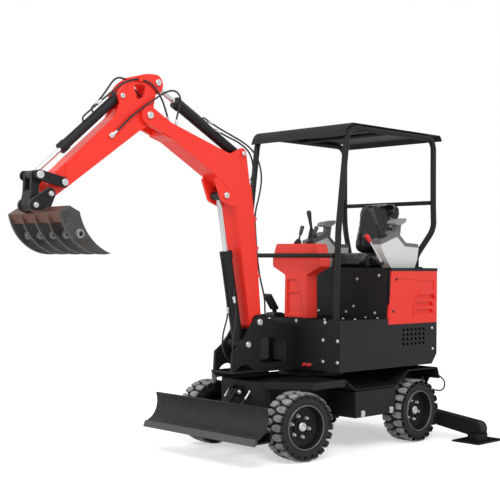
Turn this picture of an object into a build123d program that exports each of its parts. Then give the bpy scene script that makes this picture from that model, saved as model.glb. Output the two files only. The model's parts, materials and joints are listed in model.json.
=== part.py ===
import os
from math import cos, hypot, radians, sin, sqrt

from build123d import *

os.makedirs("parts", exist_ok=True)

# Wheeled mini excavator with a canopy, a root rake on the arm, a front blade and two rear outriggers.
# Millimetres, +X forward, +Y to the machine's left, +Z up; stations along X are counted from the slew axis.

# Wheels and axles
TYRE_D = 455
TYRE_W = 174
LUG_COUNT = 18
LUG_DEPTH = 15
LUG_HALF = 36
RIM_R = 150
RIM_LIP_R = 138
WHEELBASE = 1178
WHEEL_Y = 453
KINGPIN_Y = 335
KINGPIN_R = 15
STEER_DEG = -9.7
AXLE_Z = TYRE_D / 2
AXLE_H = 70
SPINDLE_R = 30
TIE_ARM = 95
TIE_R = 13

# Chassis
FRAME_HALF = 240
FRONT_OVERHANG = 131
REAR_OVERHANG = 291
FRAME_FRONT = WHEELBASE / 2 + FRONT_OVERHANG
FRAME_REAR = -WHEELBASE / 2 - REAR_OVERHANG
WHEEL_ROOM = 11.5
STEER_ROOM = 266.5
FRAME_BOTTOM = 205
DECK_Z = 500
FRAME_WALL = 10
FENDER_HALF = WHEEL_Y + 52
FENDER_T = 8
FENDER_NOSE = WHEELBASE / 2 - 69
FENDER_LIP = DECK_Z - TYRE_D - 5
BOX_FRONT = WHEELBASE / 2 - TYRE_D / 2 - STEER_ROOM
BOX_REAR = -WHEELBASE / 2 + TYRE_D / 2 + WHEEL_ROOM
BOX_BOTTOM = 165
BOX_TOP = 415
RING_R = 235
RING_TOP = 530

# Blade
BLADE_HALF = 547
BLADE_TOP = (FRAME_FRONT + 286, 387)
BLADE_MID = (FRAME_FRONT + 292, 262)
BLADE_FOOT = (FRAME_FRONT + 370, 196)
BLADE_TIP = (FRAME_FRONT + 388, 161)
BLADE_T = 10
BLADE_PIVOT = (FRAME_FRONT + 45, 215)
BLADE_CYL_BASE = (FRAME_FRONT + 42, 425)
BLADE_CYL_EYE = (FRAME_FRONT + 215, 275)
BLADE_ARM_Y = FRAME_HALF - 90

# Outriggers
LEG_X = FRAME_REAR - 70
LEG_W = 84
LEG_PIVOT = (200, 170)
LEG_FOOT = (800, 92)
LEG_ROOT_R = 46
LEG_TIP_R = 56
LEG_CYL_BASE = (255, 480)
LEG_CYL_EYE = (360, 225)
LEG_BARREL = 152
LEG_EAR_T = 14
PAD_L = 320
PAD_W = 230
PAD_T = 12

# House
HOUSE_HALF = 504
HOUSE_FRONT = 265
HOUSE_REAR = -845
HOUSE_BOTTOM = 557
SKIRT_TOP = 866
SHEET = 6
FLOOR_T = 15
FLOOR_TOP = 909
SEAT_BOX_FRONT = -262
SEAT_BOX_TOP = 1268
COVER_T = 16
RECESS = 5
BRACKET_T = 20
TONGUE_X = 880

# Boom, arm and rake pins, stations and heights
BOOM_FOOT = (630, 895)
BOOM_CYL_FOOT = (738, 747)
BOOM_CYL_EYE = (930, 1746)
ARM_CYL_BASE = (772, 2037)
ARM_PIVOT = (1582, 2211)
ARM_CYL_EYE = (1500, 2427)
RAKE_CYL_BASE = (1777, 2314)
SIDE_LINK_ARM = (2212, 1756)
LINK_TOP = (2378, 1791)
NOSE = (2293, 1687)
RAKE_LINK = (2392, 1618)
BOOM_W = 147
BOOM_WALL = 8
DOUBLER = 4
ARM_W = 100
ARM_PLATE = 15
NOSE_W = 90
PLATE = 20
PIN_R = 20
LINK_PIN_R = 15
PLAY = 0.3
GLAND = 45
EYE_ROOM = 62
NOSE_R = 35
SIDE_PLAY = 1.5
EAR_R = 40

# Rake
RAKE_HALF = 275
TINE_COUNT = 5
TINE_T = 16
TINE_BORE = (2236, 1456)
TINE_BORE_R = 14
RING_LIP = 3
RAKE_EAR_T = 14

# Operator's place
CONSOLE_X = 60
CONSOLE_T = 110
CONSOLE_TOP = 1440
ARMREST_IN = HOUSE_HALF - 174
ARMREST_OUT = HOUSE_HALF - 64
ARMREST_TOP = 1471
SEAT_HALF = 205
SEAT_REAR = -810
SEAT_FRONT = -410
CUSHION_TOP = 1385
BACK_T = 80
BACK_H = 370
BACK_LEAN = 8

# Canopy
ROOF_HALF = HOUSE_HALF - 40
ROOF_TOP = 2280
POST_R = 22
POST_WALL = 3
FRONT_POST_X = 254
REAR_POST_X = -873
REAR_FOOT_X = -775
ROOF_T = 5
RAIL_Z = ROOF_TOP - ROOF_T - POST_R - PLAY

REACH_FRONT = RAKE_LINK[0] + EAR_R
REACH_REAR = LEG_X - PAD_L / 2
SLEW_X = -(REACH_FRONT + REACH_REAR) / 2


def at(x, y, z):
    return (SLEW_X + x, y, z)


def side(y):
    return Plane(origin=(SLEW_X, y, 0), x_dir=(1, 0, 0), z_dir=(0, -1, 0))


def across(x):
    return Plane(origin=(SLEW_X + x, 0, 0), x_dir=(0, 1, 0), z_dir=(1, 0, 0))


def level(z):
    return Plane(origin=(SLEW_X, 0, z), x_dir=(1, 0, 0), z_dir=(0, 0, 1))


def block(x0, x1, y0, y1, z0, z1, mode=Mode.ADD):
    with Locations(at((x0 + x1) / 2, (y0 + y1) / 2, (z0 + z1) / 2)):
        Box(x1 - x0, y1 - y0, z1 - z0, mode=mode)


def pin(point, r, y0, y1, mode=Mode.ADD):
    with BuildSketch(side(y1)) as shape:
        with Locations(point):
            Circle(r)
    extrude(shape.sketch, amount=y1 - y0, mode=mode)


def both_pins(point, r, y0, y1, mode=Mode.ADD):
    pin(point, r, y0, y1, mode)
    pin(point, r, -y1, -y0, mode)


def strap(points, radii, y0, y1, mode=Mode.ADD):
    with BuildSketch(side(y1)) as shape:
        for point, r in zip(points, radii):
            with Locations(point):
                Circle(r)
        make_hull()
    extrude(shape.sketch, amount=y1 - y0, mode=mode)


def both_straps(points, radii, y0, y1, mode=Mode.ADD):
    strap(points, radii, y0, y1, mode)
    strap(points, radii, -y1, -y0, mode)


def outline(points, y0, y1, mode=Mode.ADD):
    with BuildSketch(side(y1)) as shape:
        with BuildLine():
            Polyline(*points, close=True)
        make_face()
    extrude(shape.sketch, amount=y1 - y0, mode=mode)


def ram_plane(base, eye):
    run = hypot(eye[0] - base[0], eye[1] - base[1])
    along = ((eye[0] - base[0]) / run, (eye[1] - base[1]) / run)
    return run, along


# A ram in the side plane: the barrel turns on its base pin and the rod slides out of its gland
def ram_barrel(base, eye, barrel_r, rod_r, length, eye_r, eye_half, pin_r):
    run, along = ram_plane(base, eye)
    axis = Plane(origin=at(base[0], 0, base[1]), x_dir=(0, 1, 0), z_dir=(along[0], 0, along[1]))
    with BuildPart() as barrel:
        with BuildSketch(axis.offset(eye_r * 0.7)):
            Circle(barrel_r)
        extrude(amount=length - eye_r * 0.7)
        with BuildSketch(axis.offset(length - GLAND)):
            Circle(barrel_r + 5)
        extrude(amount=GLAND)
        pin(base, eye_r, -eye_half, eye_half)
        with BuildSketch(axis.offset(eye_r + 4)):
            Circle(rod_r + PLAY)
        extrude(amount=length - eye_r - 4, mode=Mode.SUBTRACT)
        pin(base, pin_r + PLAY, -eye_half, eye_half, Mode.SUBTRACT)
    return barrel


def ram_rod(base, eye, rod_r, inside, eye_r, eye_half):
    run, along = ram_plane(base, eye)
    axis = Plane(origin=at(base[0], 0, base[1]), x_dir=(0, 1, 0), z_dir=(along[0], 0, along[1]))
    with BuildPart() as rod:
        with BuildSketch(axis.offset(inside)):
            Circle(rod_r)
        extrude(amount=run - inside)
        pin(eye, eye_r, -eye_half, eye_half)
    return rod


# Chassis

with BuildPart() as chassis_frame:
    with BuildSketch(level(FRAME_BOTTOM)):
        with BuildLine():
            Polyline(
                (FRAME_FRONT, -FRAME_HALF + 60),
                (FRAME_FRONT, FRAME_HALF - 60),
                (FRAME_FRONT - 60, FRAME_HALF),
                (FRAME_REAR, FRAME_HALF),
                (FRAME_REAR, -FRAME_HALF),
                (FRAME_FRONT - 60, -FRAME_HALF),
                close=True,
            )
        make_face()
    extrude(amount=DECK_Z - FRAME_BOTTOM)
    offset(amount=-FRAME_WALL, openings=chassis_frame.faces().sort_by(Axis.Z)[0])
    for x in (WHEELBASE / 2, -WHEELBASE / 2):
        block(x - 45, x + 45, -FRAME_HALF, FRAME_HALF, FRAME_BOTTOM, AXLE_Z + AXLE_H / 2, Mode.SUBTRACT)
    with BuildSketch(level(DECK_Z)):
        Circle(RING_R)
    extrude(amount=RING_TOP - DECK_Z)
    for y in (BLADE_ARM_Y - 44, BLADE_ARM_Y + 24):
        both_straps([BLADE_PIVOT, (FRAME_FRONT - 20, BLADE_PIVOT[1] + 20)], [32, 10], y, y + 20)
    both_pins(BLADE_PIVOT, LINK_PIN_R, BLADE_ARM_Y - 50, BLADE_ARM_Y + 50)
    both_straps([BLADE_CYL_BASE, (FRAME_FRONT + 4, BLADE_CYL_BASE[1] + 30)], [26, 12], 26, 40)
    pin(BLADE_CYL_BASE, LINK_PIN_R, -44, 44)

for name, flip in (("left", 1), ("right", -1)):
    with BuildPart() as fender:
        with BuildSketch(side(FENDER_HALF)):
            with BuildLine():
                top = Polyline(
                    (FRAME_FRONT - 20, DECK_Z),
                    (BOX_FRONT + 110, DECK_Z),
                    (BOX_FRONT, BOX_TOP + FENDER_T),
                    (BOX_REAR, BOX_TOP + FENDER_T),
                    (BOX_REAR - 155, DECK_Z + 20),
                    (FRAME_REAR + 30, DECK_Z + 20),
                    (FRAME_REAR, DECK_Z - 60),
                )
                offset(top, amount=FENDER_T, side=Side.RIGHT)
            make_face()
        extrude(amount=FENDER_HALF - FRAME_HALF)
        with BuildSketch(level(0)):
            with BuildLine():
                Polyline((FRAME_FRONT, FRAME_HALF), (FRAME_FRONT, 600),
                         (FENDER_NOSE, 600), (FENDER_NOSE, FENDER_HALF),
                         close=True)
            make_face()
        extrude(amount=700, mode=Mode.SUBTRACT)
        with BuildSketch(level(DECK_Z - FENDER_LIP)):
            with BuildLine():
                edge = Polyline((FRAME_FRONT, FRAME_HALF), (FENDER_NOSE, FENDER_HALF),
                                (BOX_FRONT + 110, FENDER_HALF))
                offset(edge, amount=FENDER_T, side=Side.LEFT)
            make_face()
        extrude(amount=FENDER_LIP + FENDER_T / 2)
        with BuildSketch(across(BOX_REAR)):
            with BuildLine():
                slope = Polyline((FRAME_HALF + 4, DECK_Z), (FENDER_HALF - 30, BOX_TOP + 2 * FENDER_T - 2))
                offset(slope, amount=FENDER_T, side=Side.RIGHT)
            make_face()
        extrude(amount=BOX_FRONT - BOX_REAR)
        if flip < 0:
            mirror(about=Plane.XZ, mode=Mode.REPLACE)
    fender.part.label = "fender_" + name
    export_step(fender.part, "parts/fender_" + name + ".step")

    with BuildPart() as toolbox:
        y0, y1 = (FRAME_HALF, FENDER_HALF - 5) if flip > 0 else (-FENDER_HALF + 5, -FRAME_HALF)
        block(BOX_REAR, BOX_FRONT, y0, y1, BOX_BOTTOM, BOX_TOP)
        inner = toolbox.faces().sort_by(Axis.Y)[0 if flip > 0 else -1]
        offset(amount=-4, openings=inner)
        lid = (y1, y1 + 4) if flip > 0 else (y0 - 4, y0)
        block(BOX_REAR + 14, BOX_FRONT - 14, *lid, BOX_BOTTOM + 30, BOX_TOP - 14)
    toolbox.part.label = "toolbox_" + name
    export_step(toolbox.part, "parts/toolbox_" + name + ".step")

with BuildPart() as front_axle:
    x = WHEELBASE / 2
    block(x - 40, x + 40, -KINGPIN_Y + 70, KINGPIN_Y - 70, AXLE_Z - AXLE_H / 2, AXLE_Z + AXLE_H / 2)
    for s in (1, -1):
        block(x - 30, x + 30, min(s * (KINGPIN_Y - 95), s * (KINGPIN_Y - 55)),
              max(s * (KINGPIN_Y - 95), s * (KINGPIN_Y - 55)), AXLE_Z - 92, AXLE_Z + 92)
        for z in (AXLE_Z - 92, AXLE_Z + 72):
            with BuildSketch(level(z)):
                with Locations((x, s * KINGPIN_Y), (x, s * (KINGPIN_Y - 64))):
                    Circle(28)
                make_hull()
            extrude(amount=20)
        with BuildSketch(level(AXLE_Z - 98)):
            with Locations((x, s * KINGPIN_Y)):
                Circle(KINGPIN_R)
        extrude(amount=196)

with BuildPart() as rear_axle:
    x = -WHEELBASE / 2
    block(x - 40, x + 40, -KINGPIN_Y, KINGPIN_Y, AXLE_Z - AXLE_H / 2, AXLE_Z + AXLE_H / 2)
    both_pins((x, AXLE_Z), 62, FRAME_HALF, FRAME_HALF + 115)
    pin((x, AXLE_Z), SPINDLE_R, -WHEEL_Y - 40, WHEEL_Y + 40)

# Steering knuckles, turned to the right with the front wheels
def wheel_frame(x, flip, steer):
    a = radians(steer)
    pivot = Vector(*at(x, flip * KINGPIN_Y, AXLE_Z))
    out = Vector(-sin(a), cos(a), 0) * flip
    ahead = Vector(cos(a), sin(a), 0)
    reach = WHEEL_Y - KINGPIN_Y
    return Plane(origin=pivot + out * reach, x_dir=ahead, z_dir=out), pivot


def wheel_section(hub):
    across_hub = hub.x_dir.cross(hub.z_dir)
    return Plane(origin=hub.origin, x_dir=hub.x_dir, z_dir=across_hub)


knuckles = {}
for name, flip in (("left", 1), ("right", -1)):
    hub, pivot = wheel_frame(WHEELBASE / 2, flip, STEER_DEG)
    a = radians(STEER_DEG)
    arm_end = pivot + Vector(-cos(a), -sin(a), 0) * TIE_ARM
    with BuildPart() as knuckle:
        with BuildSketch(Plane(origin=pivot - Vector(0, 0, 71))):
            Circle(28)
        extrude(amount=142)
        with BuildSketch(hub.offset(-(WHEEL_Y - KINGPIN_Y))):
            Circle(40)
        extrude(amount=60)
        with BuildSketch(hub.offset(-(WHEEL_Y - KINGPIN_Y))):
            Circle(SPINDLE_R)
        extrude(amount=WHEEL_Y - KINGPIN_Y + 40)
        with BuildSketch(Plane(origin=pivot - Vector(0, 0, 68))):
            with Locations((0, 0), (arm_end.X - pivot.X, arm_end.Y - pivot.Y)):
                Circle(22)
            make_hull()
        extrude(amount=16)
        with BuildSketch(Plane(origin=pivot - Vector(0, 0, 80))):
            Circle(KINGPIN_R + PLAY)
        extrude(amount=160, mode=Mode.SUBTRACT)
    knuckle.part.label = "knuckle_" + name
    export_step(knuckle.part, "parts/knuckle_" + name + ".step")
    knuckles[name] = arm_end

with BuildPart() as tie_rod:
    ends = [knuckles["left"], knuckles["right"]]
    z = AXLE_Z - 68 - PLAY
    for end in ends:
        with BuildSketch(Plane(origin=(end.X, end.Y, z - 22))):
            Circle(20)
        extrude(amount=22)
    span = ends[1] - ends[0]
    start = Plane(origin=(ends[0].X, ends[0].Y, z - 11), z_dir=span)
    with BuildSketch(start):
        Circle(TIE_R - 3)
    extrude(amount=span.length)

# One tyre about its own axle: a smooth casing, and on each shoulder a row of staggered lugs
half = TYRE_W / 2
groove_r = TYRE_D / 2 - LUG_DEPTH
lug_top = sqrt((TYRE_D / 2) ** 2 - LUG_HALF ** 2)

with BuildPart() as lug:
    with BuildSketch(Plane(origin=(groove_r - 12, 0, 0), x_dir=(0, 1, 0), z_dir=(1, 0, 0))):
        with BuildLine():
            Polyline(
                (6 - LUG_HALF, half), (LUG_HALF - 6, half), (LUG_HALF, half - 32), (LUG_HALF - 12, 16),
                (-6, 5), (4 - LUG_HALF, 20), (-LUG_HALF, half - 30), close=True,
            )
        make_face()
    extrude(amount=lug_top - groove_r + 12)
    chamfer(lug.edges().filter_by(Axis.Y).sort_by(Axis.Z)[-2:].sort_by(Axis.X)[-1], 10)

with BuildPart() as tread_tyre:
    with BuildSketch(Plane.XZ):
        with BuildLine():
            Polyline(
                (RIM_R, 8 - half), (RIM_R + 22, 2 - half), (groove_r - 6, 6 - half), (groove_r - 6, half - 6),
                (RIM_R + 22, half - 2), (RIM_R, half - 8), close=True,
            )
        make_face()
    revolve(axis=Axis.Z)
    with BuildSketch(Plane.XY.offset(12 - half)):
        RegularPolygon(groove_r, 2 * LUG_COUNT)
        Circle(RIM_R + 30, mode=Mode.SUBTRACT)
    extrude(amount=TYRE_W - 24)
    with PolarLocations(0, LUG_COUNT):
        add(lug.part)
    with PolarLocations(0, LUG_COUNT, start_angle=180 / LUG_COUNT):
        add(lug.part.rotate(Axis.X, 180))

for name, x, flip, steer in (
    ("front_left", WHEELBASE / 2, 1, STEER_DEG),
    ("front_right", WHEELBASE / 2, -1, STEER_DEG),
    ("rear_left", -WHEELBASE / 2, 1, 0),
    ("rear_right", -WHEELBASE / 2, -1, 0),
):
    hub, pivot = wheel_frame(x, flip, steer)
    spin = Axis(hub.origin, hub.z_dir)
    with BuildPart() as tyre:
        with Locations(hub.location):
            add(tread_tyre.part)
    tyre.part.label = "tyre_" + name
    export_step(tyre.part, "parts/tyre_" + name + ".step")

    with BuildPart() as rim:
        with BuildSketch(wheel_section(hub)):
            with BuildLine():
                Polyline(
                    (RIM_R - 0.2, -half + 10),
                    (RIM_R - 0.2, half - 10),
                    (RIM_LIP_R + 4, half - 4),
                    (RIM_LIP_R, half - 14),
                    (RIM_LIP_R - 6, 22),
                    (90, 12),
                    (55, 12),
                    (55, 26),
                    (SPINDLE_R + PLAY, 26),
                    (SPINDLE_R + PLAY, -30),
                    (58, -30),
                    (58, 2),
                    (90, 2),
                    (RIM_LIP_R - 4, 8),
                    (RIM_LIP_R - 4, -half + 10),
                    close=True,
                )
            make_face()
        revolve(axis=spin)
    rim.part.label = "rim_" + name
    export_step(rim.part, "parts/rim_" + name + ".step")

# Blade

with BuildPart() as blade:
    with BuildSketch(side(BLADE_HALF)):
        with BuildLine():
            face = ThreePointArc(BLADE_TOP, BLADE_MID, BLADE_FOOT)
            offset(face, amount=BLADE_T, side=Side.RIGHT)
        make_face()
    extrude(amount=2 * BLADE_HALF)
    x, z = BLADE_FOOT
    rail = [(x - 132, z - 28), (x - 4, z - 28), BLADE_FOOT, (x - 90, z + 54), (x - 132, z + 48)]
    outline(rail, -BLADE_HALF, BLADE_HALF)
    hollow = [(x - 124, z - 20), (x - 13, z - 20), (x - 10, z - 5), (x - 90, z + 42), (x - 124, z + 40)]
    outline(hollow, -BLADE_HALF, BLADE_HALF, Mode.SUBTRACT)
    both_straps([BLADE_PIVOT, (x - 120, z + 9)], [30, 36], BLADE_ARM_Y - 22, BLADE_ARM_Y + 22)
    both_straps([BLADE_CYL_EYE, (x - 105, z + 39)], [24, 30], 26, 40)
    both_pins(BLADE_CYL_EYE, LINK_PIN_R, 26, 46)
    both_pins(BLADE_PIVOT, LINK_PIN_R + PLAY, BLADE_ARM_Y - 30, BLADE_ARM_Y + 30, Mode.SUBTRACT)

with BuildPart() as cutting_edge:
    x, z = BLADE_FOOT
    outline([BLADE_FOOT, (x + 10, z + 8),
             (BLADE_TIP[0] + 9, BLADE_TIP[1] + 2), (BLADE_TIP[0], BLADE_TIP[1] - 3),
             (x - 4, z - 28)], -BLADE_HALF, BLADE_HALF)

blade_barrel = ram_barrel(BLADE_CYL_BASE, BLADE_CYL_EYE, 26, 14, 160, 24, 24, LINK_PIN_R)
blade_rod = ram_rod(BLADE_CYL_BASE, BLADE_CYL_EYE, 14, 63, 22, 24)

# Outriggers

with BuildPart() as outrigger_bracket:
    for x in (LEG_X + LEG_W / 2 + SIDE_PLAY, LEG_X - LEG_W / 2 - SIDE_PLAY - 14):
        with BuildSketch(across(x)):
            with BuildLine():
                Polyline(
                    (-330, 500), (330, 500), (330, 430), (255, 300), (255, 110),
                    (-255, 110), (-255, 300), (-330, 430), close=True,
                )
            make_face()
        extrude(amount=14)
    block(LEG_X + LEG_W / 2 + SIDE_PLAY + 14, FRAME_REAR, -FRAME_HALF + 20, FRAME_HALF - 20, 300, 470)
    block(LEG_X - LEG_W / 2 - SIDE_PLAY, LEG_X + LEG_W / 2 + SIDE_PLAY, -60, 60, 130, 470)
    for s in (1, -1):
        for point in (LEG_PIVOT, LEG_CYL_BASE):
            with BuildSketch(across(LEG_X - LEG_W / 2 - 22)):
                with Locations((s * point[0], point[1])):
                    Circle(LINK_PIN_R)
            extrude(amount=LEG_W + 44)


def leg_strap(points, radii, x0, x1, flip, mode=Mode.ADD):
    with BuildSketch(across(x0)) as shape:
        for point, r in zip(points, radii):
            with Locations((flip * point[0], point[1])):
                Circle(r)
        make_hull()
    extrude(shape.sketch, amount=x1 - x0, mode=mode)


for name, flip in (("left", 1), ("right", -1)):
    x0 = LEG_X - LEG_W / 2
    x1 = LEG_X + LEG_W / 2
    with BuildPart() as leg:
        leg_strap([LEG_PIVOT, LEG_FOOT], [LEG_ROOT_R, LEG_TIP_R], x0, x1, flip)
        leg_strap([(290, 158), (690, 106)], [LEG_ROOT_R - 8, LEG_TIP_R - 12],
                  x0 + 8, x1 - 8, flip, Mode.SUBTRACT)
        leg_strap([LEG_CYL_EYE, (LEG_CYL_EYE[0], 150)], [26, 40], x0, x0 + LEG_EAR_T, flip)
        leg_strap([LEG_CYL_EYE, (LEG_CYL_EYE[0], 150)], [26, 40], x1 - LEG_EAR_T, x1, flip)
        y0 = flip * LEG_FOOT[0] - PAD_W / 2
        block(LEG_X - PAD_L / 2, LEG_X + PAD_L / 2, y0, y0 + PAD_W, 0, PAD_T)
        block(LEG_X - 70, LEG_X + 70, flip * LEG_FOOT[0] - 40, flip * LEG_FOOT[0] + 40, PAD_T, 60)
        block(x0 + LEG_EAR_T, x1 - LEG_EAR_T, flip * LEG_CYL_EYE[0] - 60, flip * LEG_CYL_EYE[0] + 60,
              LEG_CYL_EYE[1] - 28, LEG_CYL_EYE[1] + 75,
              Mode.SUBTRACT)
        with BuildSketch(across(x0 - 10)):
            with Locations((flip * LEG_PIVOT[0], LEG_PIVOT[1])):
                Circle(LINK_PIN_R + PLAY)
        extrude(amount=LEG_W + 20, mode=Mode.SUBTRACT)
    leg.part.label = "leg_" + name
    export_step(leg.part, "parts/leg_" + name + ".step")

    run, along = ram_plane(LEG_CYL_BASE, LEG_CYL_EYE)
    axis = Plane(origin=at(LEG_X, flip * LEG_CYL_BASE[0], LEG_CYL_BASE[1]), x_dir=(1, 0, 0),
                 z_dir=(0, flip * along[0], along[1]))
    with BuildPart() as leg_barrel:
        with BuildSketch(axis.offset(18)):
            Circle(25)
        extrude(amount=LEG_BARREL - 18)
        with BuildSketch(across(LEG_X - 24)):
            with Locations((flip * LEG_CYL_BASE[0], LEG_CYL_BASE[1])):
                Circle(26)
        extrude(amount=48)
        with BuildSketch(axis.offset(28)):
            Circle(14 + PLAY)
        extrude(amount=LEG_BARREL - 28, mode=Mode.SUBTRACT)
        with BuildSketch(across(LEG_X - 30)):
            with Locations((flip * LEG_CYL_BASE[0], LEG_CYL_BASE[1])):
                Circle(LINK_PIN_R + PLAY)
        extrude(amount=60, mode=Mode.SUBTRACT)
    leg_barrel.part.label = "leg_barrel_" + name
    export_step(leg_barrel.part, "parts/leg_barrel_" + name + ".step")

    with BuildPart() as leg_rod:
        with BuildSketch(axis.offset(122)):
            Circle(14)
        extrude(amount=run - 122)
        with BuildSketch(across(LEG_X - 24)):
            with Locations((flip * LEG_CYL_EYE[0], LEG_CYL_EYE[1])):
                Circle(22)
        extrude(amount=48)
    leg_rod.part.label = "leg_rod_" + name
    export_step(leg_rod.part, "parts/leg_rod_" + name + ".step")

# House

with BuildPart() as house_frame:
    block(-780, HOUSE_FRONT - SHEET, -HOUSE_HALF + 10, HOUSE_HALF - 10, HOUSE_BOTTOM, HOUSE_BOTTOM + FLOOR_T)
    block(HOUSE_FRONT - SHEET, TONGUE_X, -110, 110, HOUSE_BOTTOM, HOUSE_BOTTOM + FLOOR_T)
    with BuildSketch(level(RING_TOP + PLAY)):
        Circle(RING_R - 20)
    extrude(amount=HOUSE_BOTTOM - RING_TOP - PLAY)
    block(HOUSE_FRONT - SHEET, HOUSE_FRONT, -HOUSE_HALF + 10, HOUSE_HALF - 10, HOUSE_BOTTOM, SKIRT_TOP)

with BuildPart() as boom_bracket:
    y0 = BOOM_W / 2 + SIDE_PLAY
    y1 = y0 + BRACKET_T
    z0 = HOUSE_BOTTOM + FLOOR_T
    for y in (y1, -y0):
        with BuildSketch(side(y)) as plate:
            with BuildLine():
                Polyline(
                    (HOUSE_FRONT, z0), (HOUSE_FRONT, 858), (590, 930), (672, 915), (782, 762),
                    (872, 700), (TONGUE_X, z0), close=True,
                )
            make_face()
            with Locations(BOOM_FOOT, BOOM_CYL_FOOT):
                Circle(50)
            with Locations((765, z0 - 52)):
                Circle(92, mode=Mode.SUBTRACT)
            with Locations((490, 700)):
                RectangleRounded(250, 170, 24, mode=Mode.SUBTRACT)
        extrude(amount=BRACKET_T)
    block(HOUSE_FRONT, 330, -y0, y0, 615, 800)
    block(380, 640, -y0, y0, z0, z0 + 12)
    pin(BOOM_FOOT, PIN_R + 2, -y1 - 6, y1 + 6)
    both_pins(BOOM_CYL_FOOT, 38, 44, y0)
    pin(BOOM_CYL_FOOT, PIN_R, -y1 - 6, y1 + 6)

with BuildPart() as skirt:
    with BuildSketch(side(HOUSE_HALF)):
        with BuildLine():
            Polyline(
                (HOUSE_FRONT, HOUSE_BOTTOM), (HOUSE_FRONT, SKIRT_TOP), (HOUSE_REAR, SKIRT_TOP),
                (HOUSE_REAR, 631), (-786, HOUSE_BOTTOM), close=True,
            )
        make_face()
    extrude(amount=2 * HOUSE_HALF)
    block(HOUSE_REAR - 10, HOUSE_FRONT + 10, SHEET - HOUSE_HALF, HOUSE_HALF - SHEET, HOUSE_BOTTOM - 10,
          SKIRT_TOP + 10, Mode.SUBTRACT)
    with BuildSketch(side(HOUSE_HALF)):
        with Locations((-560, 770)):
            with GridLocations(48, 34, 6, 4):
                Trapezoid(34, 20, 60, 120, rotation=0)
    extrude(amount=2 * HOUSE_HALF, mode=Mode.SUBTRACT)

with BuildPart() as counterweight:
    with BuildSketch(side(HOUSE_HALF - SHEET)):
        with BuildLine():
            Polyline(
                (-786, HOUSE_BOTTOM + 15), (HOUSE_REAR, 640), (HOUSE_REAR, SKIRT_TOP), (-790, SKIRT_TOP),
                close=True,
            )
        make_face()
    extrude(amount=2 * (HOUSE_HALF - SHEET))

with BuildPart() as floor_plate:
    block(SEAT_BOX_FRONT, HOUSE_FRONT, -HOUSE_HALF, HOUSE_HALF, SKIRT_TOP, FLOOR_TOP)
    offset(amount=-SHEET, openings=floor_plate.faces().sort_by(Axis.Z)[0])

with BuildPart() as seat_box:
    block(SEAT_BOX_FRONT - SHEET, SEAT_BOX_FRONT, -HOUSE_HALF + COVER_T, HOUSE_HALF - COVER_T,
          SKIRT_TOP, SEAT_BOX_TOP)
    block(HOUSE_REAR + COVER_T, SEAT_BOX_FRONT, -HOUSE_HALF + COVER_T, HOUSE_HALF - COVER_T,
          SEAT_BOX_TOP - SHEET, SEAT_BOX_TOP)

for name, flip in (("left", 1), ("right", -1)):
    with BuildPart() as cover:
        y = HOUSE_HALF if flip > 0 else -HOUSE_HALF + COVER_T
        with BuildSketch(side(y)) as face:
            with BuildLine():
                Polyline(
                    (SEAT_BOX_FRONT, SKIRT_TOP), (SEAT_BOX_FRONT - 34, SEAT_BOX_TOP),
                    (HOUSE_REAR, SEAT_BOX_TOP), (HOUSE_REAR, SKIRT_TOP), close=True,
                )
            make_face()
            fillet(face.vertices().sort_by(Axis.Y)[-2:].sort_by(Axis.X)[-1], 40)
        extrude(amount=COVER_T)
        y = HOUSE_HALF if flip > 0 else RECESS - HOUSE_HALF
        with BuildSketch(side(y)):
            with BuildLine():
                Polyline((-560, 925), (-375, 925), (-347, 1199), (-807, 1175), (-808, 1110), (-640, 1110))
                ThreePointArc((-640, 1110), (-575, 1030), (-560, 925))
            make_face()
        extrude(amount=RECESS, mode=Mode.SUBTRACT)
        y = HOUSE_HALF if flip > 0 else COVER_T - HOUSE_HALF
        with BuildSketch(side(y)):
            with Locations((-712, 1060), (-690, 1006), (-690, 952)):
                Trapezoid(220, 30, 60, 90)
        extrude(amount=COVER_T, mode=Mode.SUBTRACT)
    cover.part.label = "side_cover_" + name
    export_step(cover.part, "parts/side_cover_" + name + ".step")

with BuildPart() as rear_cover:
    block(HOUSE_REAR, HOUSE_REAR + COVER_T, -HOUSE_HALF + COVER_T, HOUSE_HALF - COVER_T,
          SKIRT_TOP, SEAT_BOX_TOP)
    with BuildSketch(across(HOUSE_REAR)):
        with Locations((0, (SKIRT_TOP + SEAT_BOX_TOP) / 2)):
            with GridLocations(0, 44, 1, 6):
                SlotOverall(420, 18)
    extrude(amount=COVER_T, mode=Mode.SUBTRACT)

with BuildPart() as engine_block:
    block(-700, -380, -180, 180, HOUSE_BOTTOM + 15, 980)

# Operator's place

with BuildPart() as console:
    with BuildSketch(across(CONSOLE_X)) as face:
        with BuildLine():
            Polyline(
                (-110, FLOOR_TOP), (110, FLOOR_TOP), (105, 1215), (230, 1275),
                (232, 1330), (195, CONSOLE_TOP),
                (-195, CONSOLE_TOP), (-232, 1330), (-230, 1275), (-105, 1215), close=True,
            )
        make_face()
        fillet(face.vertices().group_by(Axis.Y)[1:], 18)
    extrude(amount=CONSOLE_T)
    with BuildSketch(across(CONSOLE_X + CONSOLE_T)):
        with BuildLine():
            Polyline((-84, 930), (-84, 1180), (10, 1180))
            ThreePointArc((10, 1180), (52, 1070), (66, 930))
            Line((66, 930), (-84, 930))
        make_face()
    extrude(amount=-14, mode=Mode.SUBTRACT)
    block(CONSOLE_X + CONSOLE_T - 14, CONSOLE_X + CONSOLE_T - 4, -84, 10, 1085, 1095)

with BuildPart() as seat_cushion:
    block(SEAT_REAR, SEAT_FRONT, -SEAT_HALF, SEAT_HALF, SEAT_BOX_TOP, CUSHION_TOP)
    fillet(seat_cushion.edges().filter_by(Axis.Z), 45)
    fillet(seat_cushion.faces().sort_by(Axis.Z)[-1].edges(), 28)

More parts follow.
